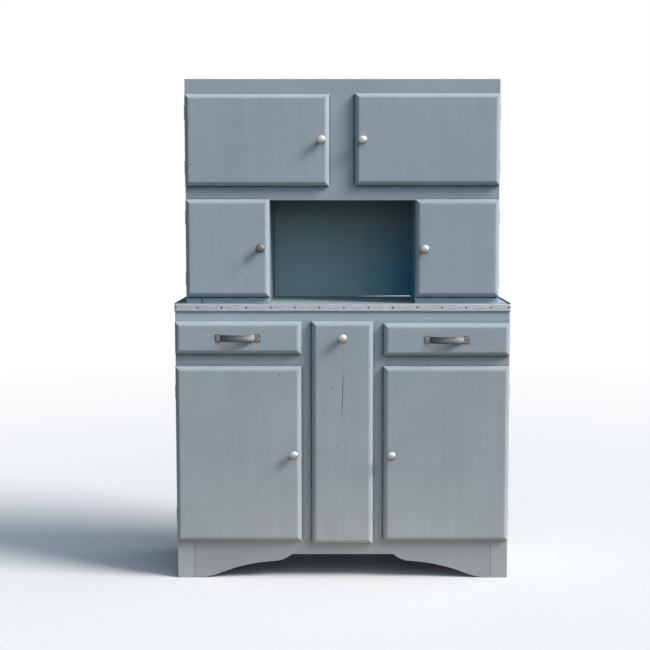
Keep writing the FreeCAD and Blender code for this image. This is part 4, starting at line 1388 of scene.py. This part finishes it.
def back_panel_nails(node):
    low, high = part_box(node)
    heads = bmesh.new()
    across = round((high.x - low.x - 2 * BACK_NAIL_MARGIN) / BACK_NAIL_PITCH)
    upright = round((high.z - low.z - 2 * BACK_NAIL_MARGIN) / BACK_NAIL_PITCH)
    places = []
    for step in range(across + 1):
        x = low.x + BACK_NAIL_MARGIN + (high.x - low.x - 2 * BACK_NAIL_MARGIN) * step / across
        places += [(x, low.z + BACK_NAIL_MARGIN), (x, high.z - BACK_NAIL_MARGIN)]
    for step in range(1, upright):
        z = low.z + BACK_NAIL_MARGIN + (high.z - low.z - 2 * BACK_NAIL_MARGIN) * step / upright
        places += [(low.x + BACK_NAIL_MARGIN, z), (high.x - BACK_NAIL_MARGIN, z)]
    for x, z in places:
        aside, upward = (chance.uniform(-reach, reach) for reach in BACK_NAIL_STRAY)
        seat = (x + aside, high.y - BACK_NAIL_SINK, z + upward)
        add_nail(heads, seat, REAR, BACK_NAIL, BACK_NAIL_HEIGHT)
    shaded_smooth(heads)
    new_piece(node + "_nail_heads", heads, [nail_metal], "carcass")


back_panel_nails("base_back")
back_panel_nails("hutch_back")

# Hinge screws, flush in the leaves

LEAF_SCREW = 0.0024
LEAF_SCREW_SINK = 0.0007
LEAF_SCREW_PLACES = ((0.16, 0.62), (0.5, 0.78), (0.84, 0.62))
LEAF_LEAST_WIDTH = 0.010


def leaf_screws(name, node, body, direction):
    """Three screws in every hinge leaf of a node, on the side that the direction looks to."""
    screws = bmesh.new()
    for low, high in islands(node):
        extent = high - low
        along = 2 if extent.z > extent.x else 0
        across = 2 - along
        if abs(extent[along] - HINGE_LENGTH) > LEAF_PLAY or extent[across] < LEAF_LEAST_WIDTH:
            continue
        pin_y = (low.y + high.y) / 2
        barrel_low = along == 2 and low.x + high.x < 0
        for share_along, share_across in LEAF_SCREW_PLACES:
            centre = Vector((0, pin_y - direction.y * LEAF_PLAY / 2, 0))
            centre[along] = low[along] + extent[along] * share_along
            if along == 0 or barrel_low:
                centre[across] = low[across] + extent[across] * share_across
            else:
                centre[across] = high[across] - extent[across] * share_across
            add_screw(screws, centre, direction, LEAF_SCREW, LEAF_SCREW_SINK)
    shaded_smooth(screws)
    return weighted_normals(new_piece(name, screws, [hinge_metal, nail_metal], body))


leaf_screws("frame_hinge_screws", "frame_hinges", "carcass", FRONT)
leaf_screws("bin_hinge_screws", "bin_hinge_leaves", "tilt_bin", REAR)
for door in DOORS:
    leaf_screws(door + "_hinge_screws", door + "_fittings", body_of[door], REAR)

# Floor, light and camera


def floor_material():
    """Pale floor with soft shadows near the object, fading into the white background further out.

    The light that it throws back is warm near the object and weak further out.
    """
    shader = Shader("floor")
    shown = shader.seen()
    place = shader.place()
    grain = shader.noise(place, 30, detail=4)
    pale = shader.toned(FLOOR_SHOWN, shader.vary(grain, 0.985, 1.015))
    distance = shader.node("ShaderNodeVectorMath", {0: place}, operation="LENGTH").outputs["Value"]
    bounce = shader.mix(shader.range(distance, 0.5, 1.4), FLOOR_BOUNCE_NEAR, FLOOR_BOUNCE_FAR)
    colour = shader.mix(shown, bounce, pale)
    shader.paint(base_color=colour, roughness=0.9, specular_ior_level=0.1)
    far = shader.product(shader.range(distance, 2.2, 6.5), shown)
    white = shader.node("ShaderNodeEmission", {"Color": (1, 1, 1, 1), "Strength": 1}).outputs[0]
    mixed = shader.node("ShaderNodeMixShader", {0: far, 1: shader.surface.outputs[0], 2: white})
    shader.feed(shader.tree.nodes["Material Output"].inputs["Surface"], mixed.outputs[0])
    return shader.owner


FLOOR_RADIUS = 60.0
FLOOR_RINGS = (0.8, 2.0, 4.0, 8.0, 20.0, FLOOR_RADIUS)
FLOOR_SEGMENTS = 64


def floor():
    mesh = bmesh.new()
    profile = [(0, 0)] + [(radius, 0) for radius in FLOOR_RINGS]
    lathe(mesh, profile, FLOOR_SEGMENTS, Matrix.Identity(4))
    turned_out(mesh)
    loose_object("floor", mesh, [floor_material()])


AMBIENT_COLOUR = (0.50, 1.0, 1.40, 1)
AMBIENT_STRENGTH = 0.12


def soft_lamp(name, travel, colour, strength, width):
    """A far soft lamp: the way that its light travels and how many degrees wide it looks."""
    lamp = bpy.data.lights.new(name, "SUN")
    lamp.energy = strength
    lamp.color = colour
    lamp.angle = math.radians(width)
    item = bpy.data.objects.new(name, lamp)
    item.rotation_euler = Vector(travel).to_track_quat("-Z", "Y").to_euler()
    bpy.context.scene.collection.objects.link(item)


def lights():
    soft_lamp("key", travel=(-3.8, 1.4, -3.2), colour=(1.10, 1.0, 0.90), strength=4.85, width=24)
    soft_lamp("wide_fill", travel=(-1.4, 1.0, -1.1), colour=(0.96, 1.0, 1.04), strength=2.4, width=115)
    world = Shader("studio", bpy.data.worlds.new("studio"))
    soft = world.tree.nodes["Background"]
    world.feed(soft.inputs["Color"], AMBIENT_COLOUR)
    world.feed(soft.inputs["Strength"], AMBIENT_STRENGTH)
    white = world.node("ShaderNodeBackground", {"Color": (1, 1, 1, 1), "Strength": 1})
    mixed = world.node("ShaderNodeMixShader", {0: world.seen(), 1: soft.outputs[0], 2: white.outputs[0]})
    world.feed(world.tree.nodes["World Output"].inputs["Surface"], mixed.outputs[0])
    bpy.context.scene.world = world.owner


FRAME_PIXELS = 650
FOCAL_PIXELS = 1290
OBJECT_MIDDLE_PIXEL = 342.5
CAMERA_PLACE = (0, -4.789, 1.353)
CAMERA_PITCH = math.radians(5.3)


def camera():
    data = bpy.data.cameras.new("camera")
    data.sensor_fit = "HORIZONTAL"
    data.lens = data.sensor_width * FOCAL_PIXELS / FRAME_PIXELS
    data.shift_x = (FRAME_PIXELS / 2 - OBJECT_MIDDLE_PIXEL) / FRAME_PIXELS
    item = bpy.data.objects.new("camera", data)
    item.location = CAMERA_PLACE
    item.rotation_euler = (math.pi / 2 - CAMERA_PITCH, 0, 0)
    bpy.context.scene.collection.objects.link(item)
    bpy.context.scene.camera = item


floor()
lights()
camera()
bpy.context.scene.view_settings.view_transform = "Standard"
